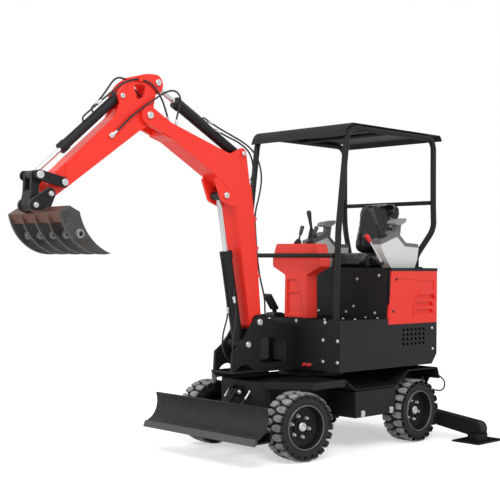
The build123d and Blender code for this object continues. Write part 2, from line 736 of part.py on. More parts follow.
with BuildPart() as seat_back:
    lean = radians(BACK_LEAN)
    z = CUSHION_TOP + PLAY + BACK_H / 2 * cos(lean)
    leaning = Plane(origin=at(SEAT_REAR + 10, 0, z), x_dir=(0, 1, 0), z_dir=(cos(lean), 0, sin(lean)))
    with BuildSketch(leaning):
        RectangleRounded(2 * SEAT_HALF - 40, BACK_H, 70)
    extrude(amount=BACK_T)

with BuildPart() as armrests:
    for s in (1, -1):
        y0, y1 = sorted((s * ARMREST_IN, s * ARMREST_OUT))
        body = [
            (-262, SEAT_BOX_TOP), (-180, 1380), (-141, ARMREST_TOP),
            (-311, ARMREST_TOP), (-403, 1504), (-485, 1568),
            (-560, 1555), (-711, 1443), (-690, SEAT_BOX_TOP),
        ]
        outline(body, y0, y1)
        outline([(-334, 1600), (-360, 1622), (-594, 1650), (-580, 1612), (-393, 1585)], y0 + 10, y1)
        outline([(-500, 1540), (-540, 1540), (-540, 1612), (-500, 1612)], y0 + 40, y1 - 30)


def lever(foot, head, rod_r, grip_r, grip_l, boot_r):
    reach = Vector(*head) - Vector(*foot)
    base = Plane(origin=at(*foot), x_dir=(0, 1, 0), z_dir=reach)
    with BuildSketch(base.offset(rod_r)) as rod:
        Circle(rod_r)
    extrude(rod.sketch, amount=reach.length - rod_r)
    with BuildSketch(Plane(origin=at(*foot))) as boot:
        Circle(boot_r)
    extrude(boot.sketch, amount=boot_r, taper=28)
    with BuildSketch(base.offset(reach.length - grip_l)) as grip:
        Circle(grip_r)
    extrude(grip.sketch, amount=grip_l)


with BuildPart() as control_levers:
    for y, z in ((-30, 1562), (75, 1683), (125, 1553)):
        lever((CONSOLE_X + 50, y, CONSOLE_TOP), (CONSOLE_X + 45, y, z), 7, 13, 62, 22)
    for s in (1, -1):
        y = s * (ARMREST_IN + ARMREST_OUT) / 2
        lever((-230, y, ARMREST_TOP + PLAY), (-180, y, 1700), 10, 19, 110, 40)
        y = s * (ARMREST_OUT + PLAY)
        pin((-200, 1400), 12, min(y, y + 20 * s), max(y, y + 20 * s))
        strap([(-200, 1400), (-90, 1510)], [9, 6], min(y + 8 * s, y + 16 * s), max(y + 8 * s, y + 16 * s))
        strap([(-108, 1492), (-72, 1528)], [15, 15], min(y + s, y + 23 * s), max(y + s, y + 23 * s))
    for y in (-250, 250):
        block(170, 230, y - 42, y + 42, FLOOR_TOP, FLOOR_TOP + 26)
        outline([(176, FLOOR_TOP + 20), (240, FLOOR_TOP + 92), (232, FLOOR_TOP + 100), (164, FLOOR_TOP + 26)],
                y - 38, y + 38)

for name, flip in (("left", 1), ("right", -1)):
    y = flip * (ROOF_HALF - POST_R)
    with BuildPart() as hoop:
        with BuildLine() as path:
            FilletPolyline(
                at(FRONT_POST_X - POST_R, y, FLOOR_TOP), at(FRONT_POST_X - POST_R, y, 960), at(215, y, 1529),
                at(126, y, RAIL_Z), at(REAR_POST_X, y, RAIL_Z), at(REAR_POST_X, y, 1565),
                at(REAR_FOOT_X, y, 1360), at(REAR_FOOT_X, y, SEAT_BOX_TOP), radius=80,
            )
        with BuildSketch(Plane(origin=path.line @ 0, z_dir=path.line % 0)):
            Circle(POST_R)
            Circle(POST_R - POST_WALL, mode=Mode.SUBTRACT)
        sweep()
        block(FRONT_POST_X - 2 * POST_R - 22, FRONT_POST_X, y - 36, y + 22, FLOOR_TOP, FLOOR_TOP + 8)
        block(REAR_FOOT_X - 44, REAR_FOOT_X + 44, y - 30, y + 30, SEAT_BOX_TOP, SEAT_BOX_TOP + 8)
    hoop.part.label = "canopy_hoop_" + name
    export_step(hoop.part, "parts/canopy_hoop_" + name + ".step")

with BuildPart() as canopy_bars:
    for x, z in ((REAR_POST_X, 1767), (232, 1354), (-360, RAIL_Z)):
        pin((x, z), 16, -ROOF_HALF + 2 * POST_R, ROOF_HALF - 2 * POST_R)

with BuildPart() as canopy_roof:
    with BuildSketch(side(ROOF_HALF)):
        with BuildLine():
            top = FilletPolyline((178, 2188), (140, ROOF_TOP), (-930, ROOF_TOP), (-955, ROOF_TOP - 40),
                                 radius=[80, 12])
            offset(top, amount=ROOF_T, side=Side.LEFT)
        make_face()
    extrude(amount=2 * ROOF_HALF)

# Boom

with BuildPart() as boom:
    half = BOOM_W / 2
    with BuildSketch(side(half)) as shape:
        with BuildLine():
            Polyline((699, 901), (776, 1334), (821, 1608), (845, 1693))
            ThreePointArc((845, 1693), (904, 1784), (1036, 1886))
            Polyline((1036, 1886), (1372, 2071), (1464, 2098), (1464, 2204), (1383, 2177), (896, 2027))
            ThreePointArc((896, 2027), (789, 1945), (694, 1813))
            Polyline((694, 1813), (659, 1597), (590, 915))
            ThreePointArc((590, 915), (630, 844), (699, 901))
        make_face()
    extrude(amount=BOOM_W)
    with BuildSketch(side(half - BOOM_WALL)):
        offset(shape.sketch_local, amount=-BOOM_WALL)
        with Locations(BOOM_FOOT):
            Rectangle(330, 160, mode=Mode.SUBTRACT)
    extrude(amount=BOOM_W - 2 * BOOM_WALL, mode=Mode.SUBTRACT)
    both_straps([BOOM_CYL_EYE, (862, 1700), (1000, 1850)], [44, 24, 18], half - PLATE, half + 1)
    both_straps([ARM_CYL_BASE, (726, 1850), (900, 2000)], [38, 24, 18], half - PLATE - 10, half - 10)
    pin(ARM_CYL_BASE, LINK_PIN_R, -half - 4, half + 4)
    pin(BOOM_CYL_EYE, EYE_ROOM, PLATE - half, half - PLATE, Mode.SUBTRACT)
    both_straps([ARM_PIVOT, (1410, 2112), (1404, 2158)], [58, 20, 20], ARM_W / 2 + SIDE_PLAY, half + DOUBLER)
    pin(ARM_PIVOT, PIN_R + 2, -half - 8, half + 8)
    pin(BOOM_FOOT, PIN_R + 2 + PLAY, -half, half, Mode.SUBTRACT)
    both_pins(BOOM_CYL_EYE, PIN_R, half - PLATE, half + 8)

boom_barrel = ram_barrel(BOOM_CYL_FOOT, BOOM_CYL_EYE, 38, 18, 640, 40, 42, PIN_R)
boom_rod = ram_rod(BOOM_CYL_FOOT, BOOM_CYL_EYE, 18, 320, 28, 48)
arm_barrel = ram_barrel(ARM_CYL_BASE, ARM_CYL_EYE, 35, 17, 620, 34, 40, LINK_PIN_R)
arm_rod = ram_rod(ARM_CYL_BASE, ARM_CYL_EYE, 17, 330, 32, 27)

# Arm

with BuildPart() as arm:
    half = ARM_W / 2
    with BuildSketch(side(half)) as shape:
        with BuildLine():
            x, z = NOSE
            under = (x - NOSE_R * 0.62, z - NOSE_R * 0.785)
            over = (x + NOSE_R * 0.91, z + NOSE_R * 0.415)
            ThreePointArc(under, (x + NOSE_R * 0.75, z - NOSE_R * 0.661), over)
            Polyline(
                over, (2241, 1823), (1842, 2173), (1790, 2240), (1640, 2276), (1556, 2262), (1527, 2200),
                (1560, 2152), (1641, 2110), (1756, 2028), under,
            )
        make_face()
    extrude(amount=ARM_W)
    with BuildSketch(side(half - BOOM_WALL)):
        offset(shape.sketch_local, amount=-BOOM_WALL)
        with Locations(ARM_PIVOT, NOSE):
            Rectangle(240, 300, mode=Mode.SUBTRACT)
    extrude(amount=ARM_W - 2 * BOOM_WALL, mode=Mode.SUBTRACT)
    for y in (half + 1, ARM_PLATE - half):
        with BuildSketch(side(y)):
            with BuildLine():
                Polyline((1516, 2351), (1531, 2279), (1527, 2200), (1700, 2200), (1830, 2190), (1794, 2268))
                Polyline((1794, 2268), (1812, 2320), (1756, 2391))
                ThreePointArc((1756, 2391), (1658, 2451), (1501, 2475))
                ThreePointArc((1501, 2475), (1457, 2419), (1516, 2351))
            make_face()
            with BuildLine(mode=Mode.PRIVATE) as window:
                FilletPolyline((1693, 2394), (1592, 2402), (1606, 2330), (1660, 2296), close=True, radius=16)
            make_face(window.edges(), mode=Mode.SUBTRACT)
        extrude(amount=ARM_PLATE + 1)
    pin(ARM_PIVOT, PIN_R + 2 + PLAY, -half - 1, half + 1, Mode.SUBTRACT)
    pin(RAKE_CYL_BASE, LINK_PIN_R, -half - 4, half + 4)
    both_pins(ARM_CYL_EYE, PIN_R, half - ARM_PLATE, half + 6)
    for s in (1, -1):
        block(2180, 2400, min(s * NOSE_W / 2, s * half), max(s * NOSE_W / 2, s * half),
              1600, 1900, Mode.SUBTRACT)
    pin(NOSE, LINK_PIN_R, -72, 72)
    pin(SIDE_LINK_ARM, LINK_PIN_R, -90, 90)

rake_barrel = ram_barrel(RAKE_CYL_BASE, LINK_TOP, 30, 15, 540, 30, 27, LINK_PIN_R)
rake_rod = ram_rod(RAKE_CYL_BASE, LINK_TOP, 15, 290, 28, 22)

with BuildPart() as side_links:
    both_straps([SIDE_LINK_ARM, LINK_TOP], [30, 30], 69, 83)
    both_pins(SIDE_LINK_ARM, LINK_PIN_R + PLAY, 60, 95, Mode.SUBTRACT)
    both_pins(LINK_TOP, 22, 69, 90)

with BuildPart() as h_link:
    both_straps([LINK_TOP, (2386, 1690)], [28, 24], 25, 47)
    strap([(2386, 1690), RAKE_LINK], [24, 32], -47, 47)
    pin(RAKE_LINK, LINK_PIN_R + PLAY, -50, 50, Mode.SUBTRACT)

with BuildPart() as rake:
    both_straps([NOSE, RAKE_LINK, (2330, 1590)], [36, EAR_R, 30], 50, 50 + RAKE_EAR_T)
    outline([(2365, 1575), (2304, 1612), (2270, 1560), (2331, 1520)], -RAKE_HALF, RAKE_HALF)
    pin(RAKE_LINK, LINK_PIN_R, -70, 70)
    both_pins(NOSE, LINK_PIN_R + PLAY, 45, 70, Mode.SUBTRACT)
    pitch = (2 * RAKE_HALF - TINE_T) / (TINE_COUNT - 1)
    for i in range(TINE_COUNT):
        y = -RAKE_HALF + i * pitch
        with BuildSketch(side(y + TINE_T)):
            with BuildLine():
                outer = ThreePointArc((2365, 1575), (2235, 1386), (2015, 1347))
                inner = ThreePointArc((2015, 1347), (2170, 1450), (2235, 1580))
                Polyline((2235, 1580), (2304, 1612), (2365, 1575))
            make_face()
        extrude(amount=TINE_T)
        pin(TINE_BORE, 2 * TINE_BORE_R, y - RING_LIP, y + TINE_T + RING_LIP)
        pin(TINE_BORE, TINE_BORE_R, y - RING_LIP, y + TINE_T + RING_LIP, Mode.SUBTRACT)

for name, made in (
    ("chassis_frame", chassis_frame), ("front_axle", front_axle), ("rear_axle", rear_axle),
    ("tie_rod", tie_rod),
    ("blade", blade), ("cutting_edge", cutting_edge), ("blade_barrel", blade_barrel),
    ("blade_rod", blade_rod),
    ("outrigger_bracket", outrigger_bracket), ("house_frame", house_frame), ("boom_bracket", boom_bracket),
    ("skirt", skirt), ("counterweight", counterweight), ("floor_plate", floor_plate), ("seat_box", seat_box),
    ("rear_cover", rear_cover), ("engine_block", engine_block), ("console", console),
    ("seat_cushion", seat_cushion), ("seat_back", seat_back), ("armrests", armrests),
    ("control_levers", control_levers), ("canopy_bars", canopy_bars), ("canopy_roof", canopy_roof),
    ("boom", boom), ("boom_barrel", boom_barrel), ("boom_rod", boom_rod), ("arm_barrel", arm_barrel),
    ("arm_rod", arm_rod), ("arm", arm), ("rake_barrel", rake_barrel), ("rake_rod", rake_rod),
    ("side_links", side_links), ("h_link", h_link), ("rake", rake),
):
    made.part.label = name
    export_step(made.part, "parts/" + name + ".step")
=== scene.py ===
import json
import math

import bmesh
import bpy
from mathutils import Matrix, Vector


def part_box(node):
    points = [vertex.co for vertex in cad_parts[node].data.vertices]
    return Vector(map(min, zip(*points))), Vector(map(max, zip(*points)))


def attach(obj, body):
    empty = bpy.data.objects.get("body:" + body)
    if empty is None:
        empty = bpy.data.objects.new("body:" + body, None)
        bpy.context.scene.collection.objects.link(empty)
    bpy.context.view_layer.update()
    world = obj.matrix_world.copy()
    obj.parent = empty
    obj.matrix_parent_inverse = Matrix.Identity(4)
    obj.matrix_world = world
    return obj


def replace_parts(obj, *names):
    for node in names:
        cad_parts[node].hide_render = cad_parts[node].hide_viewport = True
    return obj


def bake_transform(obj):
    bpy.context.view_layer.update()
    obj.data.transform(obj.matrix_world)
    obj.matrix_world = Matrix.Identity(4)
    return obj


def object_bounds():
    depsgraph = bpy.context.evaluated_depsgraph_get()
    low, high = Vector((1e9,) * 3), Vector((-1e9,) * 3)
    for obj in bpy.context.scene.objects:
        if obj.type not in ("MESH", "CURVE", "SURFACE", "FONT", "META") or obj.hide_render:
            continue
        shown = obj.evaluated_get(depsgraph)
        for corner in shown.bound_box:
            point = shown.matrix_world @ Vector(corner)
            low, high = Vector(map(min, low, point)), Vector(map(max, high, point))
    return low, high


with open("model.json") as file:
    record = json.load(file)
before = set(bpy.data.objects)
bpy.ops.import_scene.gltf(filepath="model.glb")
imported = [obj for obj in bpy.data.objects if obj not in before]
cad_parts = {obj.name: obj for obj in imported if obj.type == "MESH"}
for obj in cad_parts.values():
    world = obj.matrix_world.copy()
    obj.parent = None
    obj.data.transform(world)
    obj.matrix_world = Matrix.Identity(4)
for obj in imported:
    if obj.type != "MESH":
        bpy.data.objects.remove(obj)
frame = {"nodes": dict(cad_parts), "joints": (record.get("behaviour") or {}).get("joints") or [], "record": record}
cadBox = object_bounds()
nodes = frame["nodes"]
print("frame loaded:", len(nodes), "pieces")

# stations along the machine are counted from its slew axis, in metres
slewX = -0.661


def toLinear(hexColour):
    parts = [int(hexColour[i:i + 2], 16) / 255 for i in (1, 3, 5)]
    return tuple(c / 12.92 if c <= 0.04045 else ((c + 0.055) / 1.055) ** 2.4 for c in parts) + (1.0,)


def addNode(tree, kind, settings=None, links=None):
    node = tree.nodes.new("ShaderNode" + kind)
    for name, value in (settings or {}).items():
        if isinstance(name, int) or name in node.inputs:
            node.inputs[name].default_value = value
        else:
            setattr(node, name, value)
    for name, source in (links or {}).items():
        tree.links.new(source, node.inputs[name])
    return node


def startMaterial(name, colour, **surface):
    made = bpy.data.materials.new(name)
    made.use_nodes = True
    shader = made.node_tree.nodes["Principled BSDF"]
    shader.inputs["Base Color"].default_value = toLinear(colour)
    for socket, value in surface.items():
        shader.inputs[socket.replace("_", " ")].default_value = value
    return made, made.node_tree, shader


# scale of a noise whose blobs are that many millimetres apart
def perMm(size):
    return 1000 / size


# rounds the edges for the eye and raises a fine relief on the faces
def addRelief(tree, shader, height, strength, edgeMm, deepMm=2, samples=4):
    edge = addNode(tree, "Bevel", {"samples": samples, "Radius": edgeMm / 1000})
    bump = addNode(tree, "Bump", {"Strength": strength, "Distance": deepMm / 1000},
                   {"Height": height.outputs["Fac"], "Normal": edge.outputs["Normal"]})
    tree.links.new(bump.outputs["Normal"], shader.inputs["Normal"])
    return edge


# Sprayed enamel on welded plate: glossy, with faint orange peel and rounded edges that catch the light
enamel = {"red": "#fd3a2c", "shade": "#f23024", "peelMm": 9, "roughness": 0.3, "edgeMm": 4}


def enamelPaint(name, look):
    made, tree, shader = startMaterial(name, look["red"], Roughness=look["roughness"], Specular_IOR_Level=0.3,
                                       Coat_Weight=0.1, Coat_Roughness=0.1)
    place = addNode(tree, "TexCoord").outputs["Object"]
    drift = addNode(tree, "TexNoise", {"Scale": perMm(420), "Detail": 2.0}, {"Vector": place})
    tone = addNode(tree, "Mix", {"data_type": "RGBA", 6: toLinear(look["red"]), 7: toLinear(look["shade"])},
                   {0: drift.outputs["Fac"]})
    tree.links.new(tone.outputs[2], shader.inputs["Base Color"])
    peel = addNode(tree, "TexNoise", {"Scale": perMm(look["peelMm"]), "Detail": 1.0}, {"Vector": place})
    addRelief(tree, shader, peel, 0.03, look["edgeMm"])
    return made


# Powder coat baked on steel: satin, finely pebbled, dusty on faces that look up
powder = {"black": "#1b1b1e", "dust": "#2c2c2e", "grainMm": 5, "roughness": 0.5, "edgeMm": 4}


def powderCoat(name, look):
    made, tree, shader = startMaterial(name, look["black"], Roughness=look["roughness"],
                                       Specular_IOR_Level=0.26)
    place = addNode(tree, "TexCoord").outputs["Object"]
    cloud = addNode(tree, "TexNoise", {"Scale": perMm(160), "Detail": 4.0}, {"Vector": place})
    facing = addNode(tree, "NewGeometry")
    up = addNode(tree, "SeparateXYZ", {}, {"Vector": facing.outputs["Normal"]})
    lie = addNode(tree, "MapRange", {"From Min": 0.55, "From Max": 1.0, "To Max": 0.45},
                  {"Value": up.outputs["Z"]})
    film = addNode(tree, "Math", {"operation": "MULTIPLY"},
                   {0: lie.outputs["Result"], 1: cloud.outputs["Fac"]})
    tone = addNode(tree, "Mix", {"data_type": "RGBA", 6: toLinear(look["black"]), 7: toLinear(look["dust"])},
                   {0: film.outputs["Value"]})
    tree.links.new(tone.outputs[2], shader.inputs["Base Color"])
    # a dusty top doesn't mirror the surround
    shine = addNode(tree, "MapRange", {"From Max": 0.45, "To Min": 0.26, "To Max": 0.0},
                    {"Value": lie.outputs["Result"]})
    tree.links.new(shine.outputs["Result"], shader.inputs["Specular IOR Level"])
    rough = addNode(tree, "MapRange", {"To Min": look["roughness"] - 0.06, "To Max": look["roughness"] + 0.1},
                    {"Value": cloud.outputs["Fac"]})
    tree.links.new(rough.outputs["Result"], shader.inputs["Roughness"])
    grain = addNode(tree, "TexNoise", {"Scale": perMm(look["grainMm"]), "Detail": 2.0}, {"Vector": place})
    addRelief(tree, shader, grain, 0.05, look["edgeMm"])
    return made


# Chassis paint worn by soil: flat charcoal with pale rubs near the ground and small chips
worn = {"charcoal": "#1b1c1f", "rub": "#5a5b60", "rubTopM": 0.22, "roughness": 0.55, "edgeMm": 3}


def wornPaint(name, look):
    made, tree, shader = startMaterial(name, look["charcoal"], Roughness=look["roughness"],
                                       Specular_IOR_Level=0.3)
    place = addNode(tree, "TexCoord").outputs["Object"]
    height = addNode(tree, "SeparateXYZ", {}, {"Vector": place})
    low = addNode(tree, "MapRange", {"From Min": 0.15, "From Max": look["rubTopM"], "To Min": 0.75,
                                     "To Max": 0.12},
                  {"Value": height.outputs["Z"]})
    streaks = addNode(tree, "TexNoise", {"Scale": perMm(70), "Detail": 8.0, "Roughness": 0.7},
                      {"Vector": place})
    chips = addNode(tree, "MapRange", {"From Min": 0.5, "From Max": 0.72}, {"Value": streaks.outputs["Fac"]})
    mask = addNode(tree, "Math", {"operation": "MULTIPLY"},
                   {0: low.outputs["Result"], 1: chips.outputs["Result"]})
    tone = addNode(tree, "Mix", {"data_type": "RGBA", 6: toLinear(look["charcoal"]),
                                 7: toLinear(look["rub"])},
                   {0: mask.outputs["Value"]})
    tree.links.new(tone.outputs[2], shader.inputs["Base Color"])
    addRelief(tree, shader, streaks, 0.12, look["edgeMm"])
    return made


# Hot-rolled plate, left bare: dark mill scale with bright rubbed edges
# The beam is brown with primer, and the ears are black
millScale = {"steel": "#4a4a49", "rust": "#3b3330", "scuff": "#8d8c89", "primer": "#6a473b", "ear": "#1c1c1e",
             "roughness": 0.5, "edgeMm": 4}
beam = {"low": 1.516, "ears": 1.588, "half": 0.258, "earHalf": 0.066}


def barePlate(name, look):
    made, tree, shader = startMaterial(name, look["steel"], Roughness=look["roughness"], Metallic=0.45)
    place = addNode(tree, "TexCoord").outputs["Object"]
    patch = addNode(tree, "TexNoise", {"Scale": perMm(90), "Detail": 5.0}, {"Vector": place})
    scratch = addNode(tree, "TexNoise", {"Scale": perMm(22), "Detail": 8.0, "Roughness": 0.75},
                      {"Vector": place})
    brown = addNode(tree, "MapRange", {"From Min": 0.48, "From Max": 0.66}, {"Value": patch.outputs["Fac"]})
    base = addNode(tree, "Mix", {"data_type": "RGBA", 6: toLinear(look["steel"]), 7: toLinear(look["rust"])},
                   {0: brown.outputs["Result"]})
    bright = addNode(tree, "MapRange", {"From Min": 0.58, "From Max": 0.7, "To Max": 0.5},
                     {"Value": scratch.outputs["Fac"]})
    scuffed = addNode(tree, "Mix", {"data_type": "RGBA", 7: toLinear(look["scuff"])},
                      {0: bright.outputs["Result"], 6: base.outputs[2]})
    at = addNode(tree, "SeparateXYZ", {}, {"Vector": place})
    wide = addNode(tree, "Math", {"operation": "ABSOLUTE"}, {0: at.outputs["Y"]})
    above = addNode(tree, "Math", {"operation": "GREATER_THAN", 1: beam["low"]}, {0: at.outputs["Z"]})
    between = addNode(tree, "Math", {"operation": "LESS_THAN", 1: beam["half"]}, {0: wide.outputs["Value"]})
    onBeam = addNode(tree, "Math", {"operation": "MULTIPLY"},
                     {0: above.outputs["Value"], 1: between.outputs["Value"]})
    primed = addNode(tree, "Mix", {"data_type": "RGBA", 7: toLinear(look["primer"])},
                     {0: onBeam.outputs["Value"], 6: scuffed.outputs[2]})
    higher = addNode(tree, "Math", {"operation": "GREATER_THAN", 1: beam["ears"]}, {0: at.outputs["Z"]})
    inside = addNode(tree, "Math", {"operation": "LESS_THAN", 1: beam["earHalf"]}, {0: wide.outputs["Value"]})
    onEar = addNode(tree, "Math", {"operation": "MULTIPLY"},
                    {0: higher.outputs["Value"], 1: inside.outputs["Value"]})
    tone = addNode(tree, "Mix", {"data_type": "RGBA", 7: toLinear(look["ear"])},
                   {0: onEar.outputs["Value"], 6: primed.outputs[2]})
    # edges, where a rounded normal leaves the face's own, are rubbed bright
    edge = addRelief(tree, shader, scratch, 0.2, look["edgeMm"], samples=6)
    face = addNode(tree, "NewGeometry")
    along = addNode(tree, "VectorMath", {"operation": "DOT_PRODUCT"},
                    {0: edge.outputs["Normal"], 1: face.outputs["True Normal"]})
    rub = addNode(tree, "MapRange", {"From Min": 0.99, "From Max": 0.9, "To Max": 0.75},
                  {"Value": along.outputs["Value"]})
    rubbed = addNode(tree, "Mix", {"data_type": "RGBA", 7: toLinear(look["scuff"])},
                     {0: rub.outputs["Result"], 6: tone.outputs[2]})
    tree.links.new(rubbed.outputs[2], shader.inputs["Base Color"])
    return made


# Hard chrome, ground and polished: a bright mirror with fine rings, drawn coarser than life
# The rod's eye is painted black
chrome = {"colour": "#dfe1e3", "eye": "#17171a", "ringMm": 3, "roughness": 0.14}


def hardChrome(name, look, eye, radius):
    made, tree, shader = startMaterial(name, look["colour"], Metallic=1.0, Roughness=look["roughness"])
    place = addNode(tree, "TexCoord").outputs["Object"]
    rings = addNode(tree, "TexNoise", {"Scale": perMm(look["ringMm"]), "Detail": 2.0}, {"Vector": place})
    polish = addNode(tree, "MapRange", {"To Min": look["roughness"] - 0.05,
                                        "To Max": look["roughness"] + 0.08},
                     {"Value": rings.outputs["Fac"]})
    off = addNode(tree, "VectorMath", {"operation": "SUBTRACT", 1: (slewX + eye[0] / 1000, 0, eye[1] / 1000)},
                  {0: place})
    flat = addNode(tree, "VectorMath", {"operation": "MULTIPLY", 1: (1, 0, 1)}, {0: off.outputs["Vector"]})
    reach = addNode(tree, "VectorMath", {"operation": "LENGTH"}, {0: flat.outputs["Vector"]})
    bare = addNode(tree, "Math", {"operation": "GREATER_THAN", 1: radius / 1000}, {0: reach.outputs["Value"]})
    tone = addNode(tree, "Mix", {"data_type": "RGBA", 6: toLinear(look["eye"]), 7: toLinear(look["colour"])},
                   {0: bare.outputs["Value"]})
    gloss = addNode(tree, "Mix", {2: 0.5}, {0: bare.outputs["Value"], 3: polish.outputs["Result"]})
    tree.links.new(tone.outputs[2], shader.inputs["Base Color"])
    tree.links.new(bare.outputs["Value"], shader.inputs["Metallic"])
    tree.links.new(gloss.outputs[0], shader.inputs["Roughness"])
    return made


# Moulded rubber: matt black flanks, tread scrubbed grey and dusty towards the outside of the lugs
rubber = {"flank": "#212121", "tread": "#a6a6a5", "grainMm": 6, "roughness": 0.82, "from": 0.206,
          "to": 0.224, "edgeMm": 4}


def tyreRubber(name, node, axis, look):
    low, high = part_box(node)
    centre = [(a + b) / 2 for a, b in zip(low, high)]
    made, tree, shader = startMaterial(name, look["flank"], Roughness=look["roughness"], IOR=1.5)
    place = addNode(tree, "TexCoord").outputs["Object"]
    arm = addNode(tree, "VectorMath", {"operation": "SUBTRACT", 1: centre}, {0: place})
    across = addNode(tree, "VectorMath", {"operation": "CROSS_PRODUCT", 1: axis}, {0: arm.outputs["Vector"]})
    radius = addNode(tree, "VectorMath", {"operation": "LENGTH"}, {0: across.outputs["Vector"]})
    grain = addNode(tree, "TexNoise", {"Scale": perMm(40), "Detail": 6.0}, {"Vector": place})
    crown = addNode(tree, "MapRange", {"From Min": look["from"], "From Max": look["to"]},
                    {"Value": radius.outputs["Value"]})
    dust = addNode(tree, "MapRange", {"From Min": 0.25, "From Max": 0.6, "To Min": 0.35},
                   {"Value": grain.outputs["Fac"]})
    mask = addNode(tree, "Math", {"operation": "MULTIPLY"},
                   {0: crown.outputs["Result"], 1: dust.outputs["Result"]})
    tone = addNode(tree, "Mix", {"data_type": "RGBA", 6: toLinear(look["flank"]), 7: toLinear(look["tread"])},
                   {0: mask.outputs["Value"]})
    tree.links.new(tone.outputs[2], shader.inputs["Base Color"])
    fine = addNode(tree, "TexNoise", {"Scale": perMm(look["grainMm"]), "Detail": 3.0}, {"Vector": place})
    addRelief(tree, shader, fine, 0.15, look["edgeMm"])
    return made


# Injection-moulded plastic with a spark-eroded grain: even colour, soft sheen
def mouldedPlastic(name, colour, roughness, grainMm, edgeMm=4):
    made, tree, shader = startMaterial(name, colour, Roughness=roughness, IOR=1.47)
    place = addNode(tree, "TexCoord").outputs["Object"]
    grain = addNode(tree, "TexNoise", {"Scale": perMm(grainMm), "Detail": 2.0}, {"Vector": place})
    rough = addNode(tree, "MapRange", {"To Min": roughness - 0.05, "To Max": roughness + 0.07},
                    {"Value": grain.outputs["Fac"]})
    tree.links.new(rough.outputs["Result"], shader.inputs["Roughness"])
    addRelief(tree, shader, grain, 0.06, edgeMm, deepMm=1)
    return made


# Sand-cast and machined metal: dull, coarse skin
def castMetal(name, colour, metallic, roughness):
    made, tree, shader = startMaterial(name, colour, Roughness=roughness, Metallic=metallic)
    place = addNode(tree, "TexCoord").outputs["Object"]
    skin = addNode(tree, "TexNoise", {"Scale": perMm(8), "Detail": 4.0}, {"Vector": place})
    bump = addNode(tree, "Bump", {"Strength": 0.2, "Distance": 0.002}, {"Height": skin.outputs["Fac"]})
    tree.links.new(bump.outputs["Normal"], shader.inputs["Normal"])
    return made


# Calendered vinyl over foam: black, with a leather grain and the folded shine of a clear film over it
def seatVinyl(name, colour):
    made, tree, shader = startMaterial(name, colour, Roughness=0.5, Specular_IOR_Level=0.12, Coat_Weight=0.55,
                                       Coat_Roughness=0.1)
    place = addNode(tree, "TexCoord").outputs["Object"]
    cells = addNode(tree, "TexVoronoi", {"Scale": perMm(5)}, {"Vector": place})
    creases = addNode(tree, "TexNoise", {"Scale": perMm(60), "Detail": 5.0}, {"Vector": place})
    relief = addNode(tree, "Math", {"operation": "MULTIPLY_ADD", 1: 0.25},
                     {0: cells.outputs["Distance"], 2: creases.outputs["Fac"]})
    bump = addNode(tree, "Bump", {"Strength": 0.25, "Distance": 0.004}, {"Height": relief.outputs["Value"]})
    tree.links.new(bump.outputs["Normal"], shader.inputs["Normal"])
    folds = addNode(tree, "TexNoise", {"Scale": perMm(130), "Detail": 1.0, "Distortion": 0.9},
                    {"Vector": place})
    film = addNode(tree, "Bump", {"Strength": 0.6, "Distance": 0.03}, {"Height": folds.outputs["Fac"]})
    tree.links.new(film.outputs["Normal"], shader.inputs["Coat Normal"])
    return made


# Bright zinc plating over steel: pale grey, softly reflecting, with cloudy patches dulled by oil
def zincPlate(name, colour):
    made, tree, shader = startMaterial(name, colour, Metallic=0.85, Roughness=0.34)
    place = addNode(tree, "TexCoord").outputs["Object"]
    cloud = addNode(tree, "TexNoise", {"Scale": perMm(14), "Detail": 4.0}, {"Vector": place})
    rough = addNode(tree, "MapRange", {"To Min": 0.24, "To Max": 0.5}, {"Value": cloud.outputs["Fac"]})
    tree.links.new(rough.outputs["Result"], shader.inputs["Roughness"])
    edge = addNode(tree, "Bevel", {"samples": 4, "Radius": 0.001})
    tree.links.new(edge.outputs["Normal"], shader.inputs["Normal"])
    return made


# Braided hydraulic hose in a rubber cover: black with a dull shine
# Its faint wrap marks are drawn coarser than life
def hoseRubber(name, colour):
    made, tree, shader = startMaterial(name, colour, Roughness=0.42, IOR=1.5)
    place = addNode(tree, "TexCoord").outputs["Object"]
    wrap = addNode(tree, "TexNoise", {"Scale": perMm(7), "Detail": 3.0}, {"Vector": place})
    rough = addNode(tree, "MapRange", {"To Min": 0.32, "To Max": 0.55}, {"Value": wrap.outputs["Fac"]})
    tree.links.new(rough.outputs["Result"], shader.inputs["Roughness"])
    bump = addNode(tree, "Bump", {"Strength": 0.12, "Distance": 0.001}, {"Height": wrap.outputs["Fac"]})
    tree.links.new(bump.outputs["Normal"], shader.inputs["Normal"])
    return made


finishes = {
    "black_paint": powderCoat("powderCoatedSteel", powder),
    "red_paint": enamelPaint("redEnamel", enamel),
    "charcoal_paint": wornPaint("wornCharcoalPaint", worn),
    "rake_steel": barePlate("hotRolledPlate", millScale),
    "chrome_rod": hardChrome("hardChrome", chrome, (0, 0), 1),
    "cast_iron": castMetal("castIron", "#2a2a2b", 0.3, 0.55),
    "cutting_edge": castMetal("cuttingEdgeSteel", "#4c4d50", 0.4, 0.5),
    "engine_alloy": castMetal("castAluminium", "#8b8d8f", 0.8, 0.5),
    "red_plastic": mouldedPlastic("redAbs", "#f03a2c", 0.34, 4, 9),
    "grey_plastic": mouldedPlastic("greyAbs", "#e2e2e0", 0.5, 3, 8),
    "black_plastic": mouldedPlastic("blackNylon", "#1b1b1d", 0.5, 3),
    "seat_vinyl": seatVinyl("blackVinyl", "#0b0b0d"),
}

# each rod with the eye that is painted, its pin and its radius
for rod, eye, radius in (("boom", (930, 1746), 31), ("arm", (1500, 2427), 35), ("rake", (2378, 1791), 31)):
    finishes[rod + "_rod"] = hardChrome("hardChrome_" + rod, chrome, eye, radius)

wheels = ("front_left", "front_right", "rear_left", "rear_right")
steerDeg = -9.7  # the front wheels' turn at rest


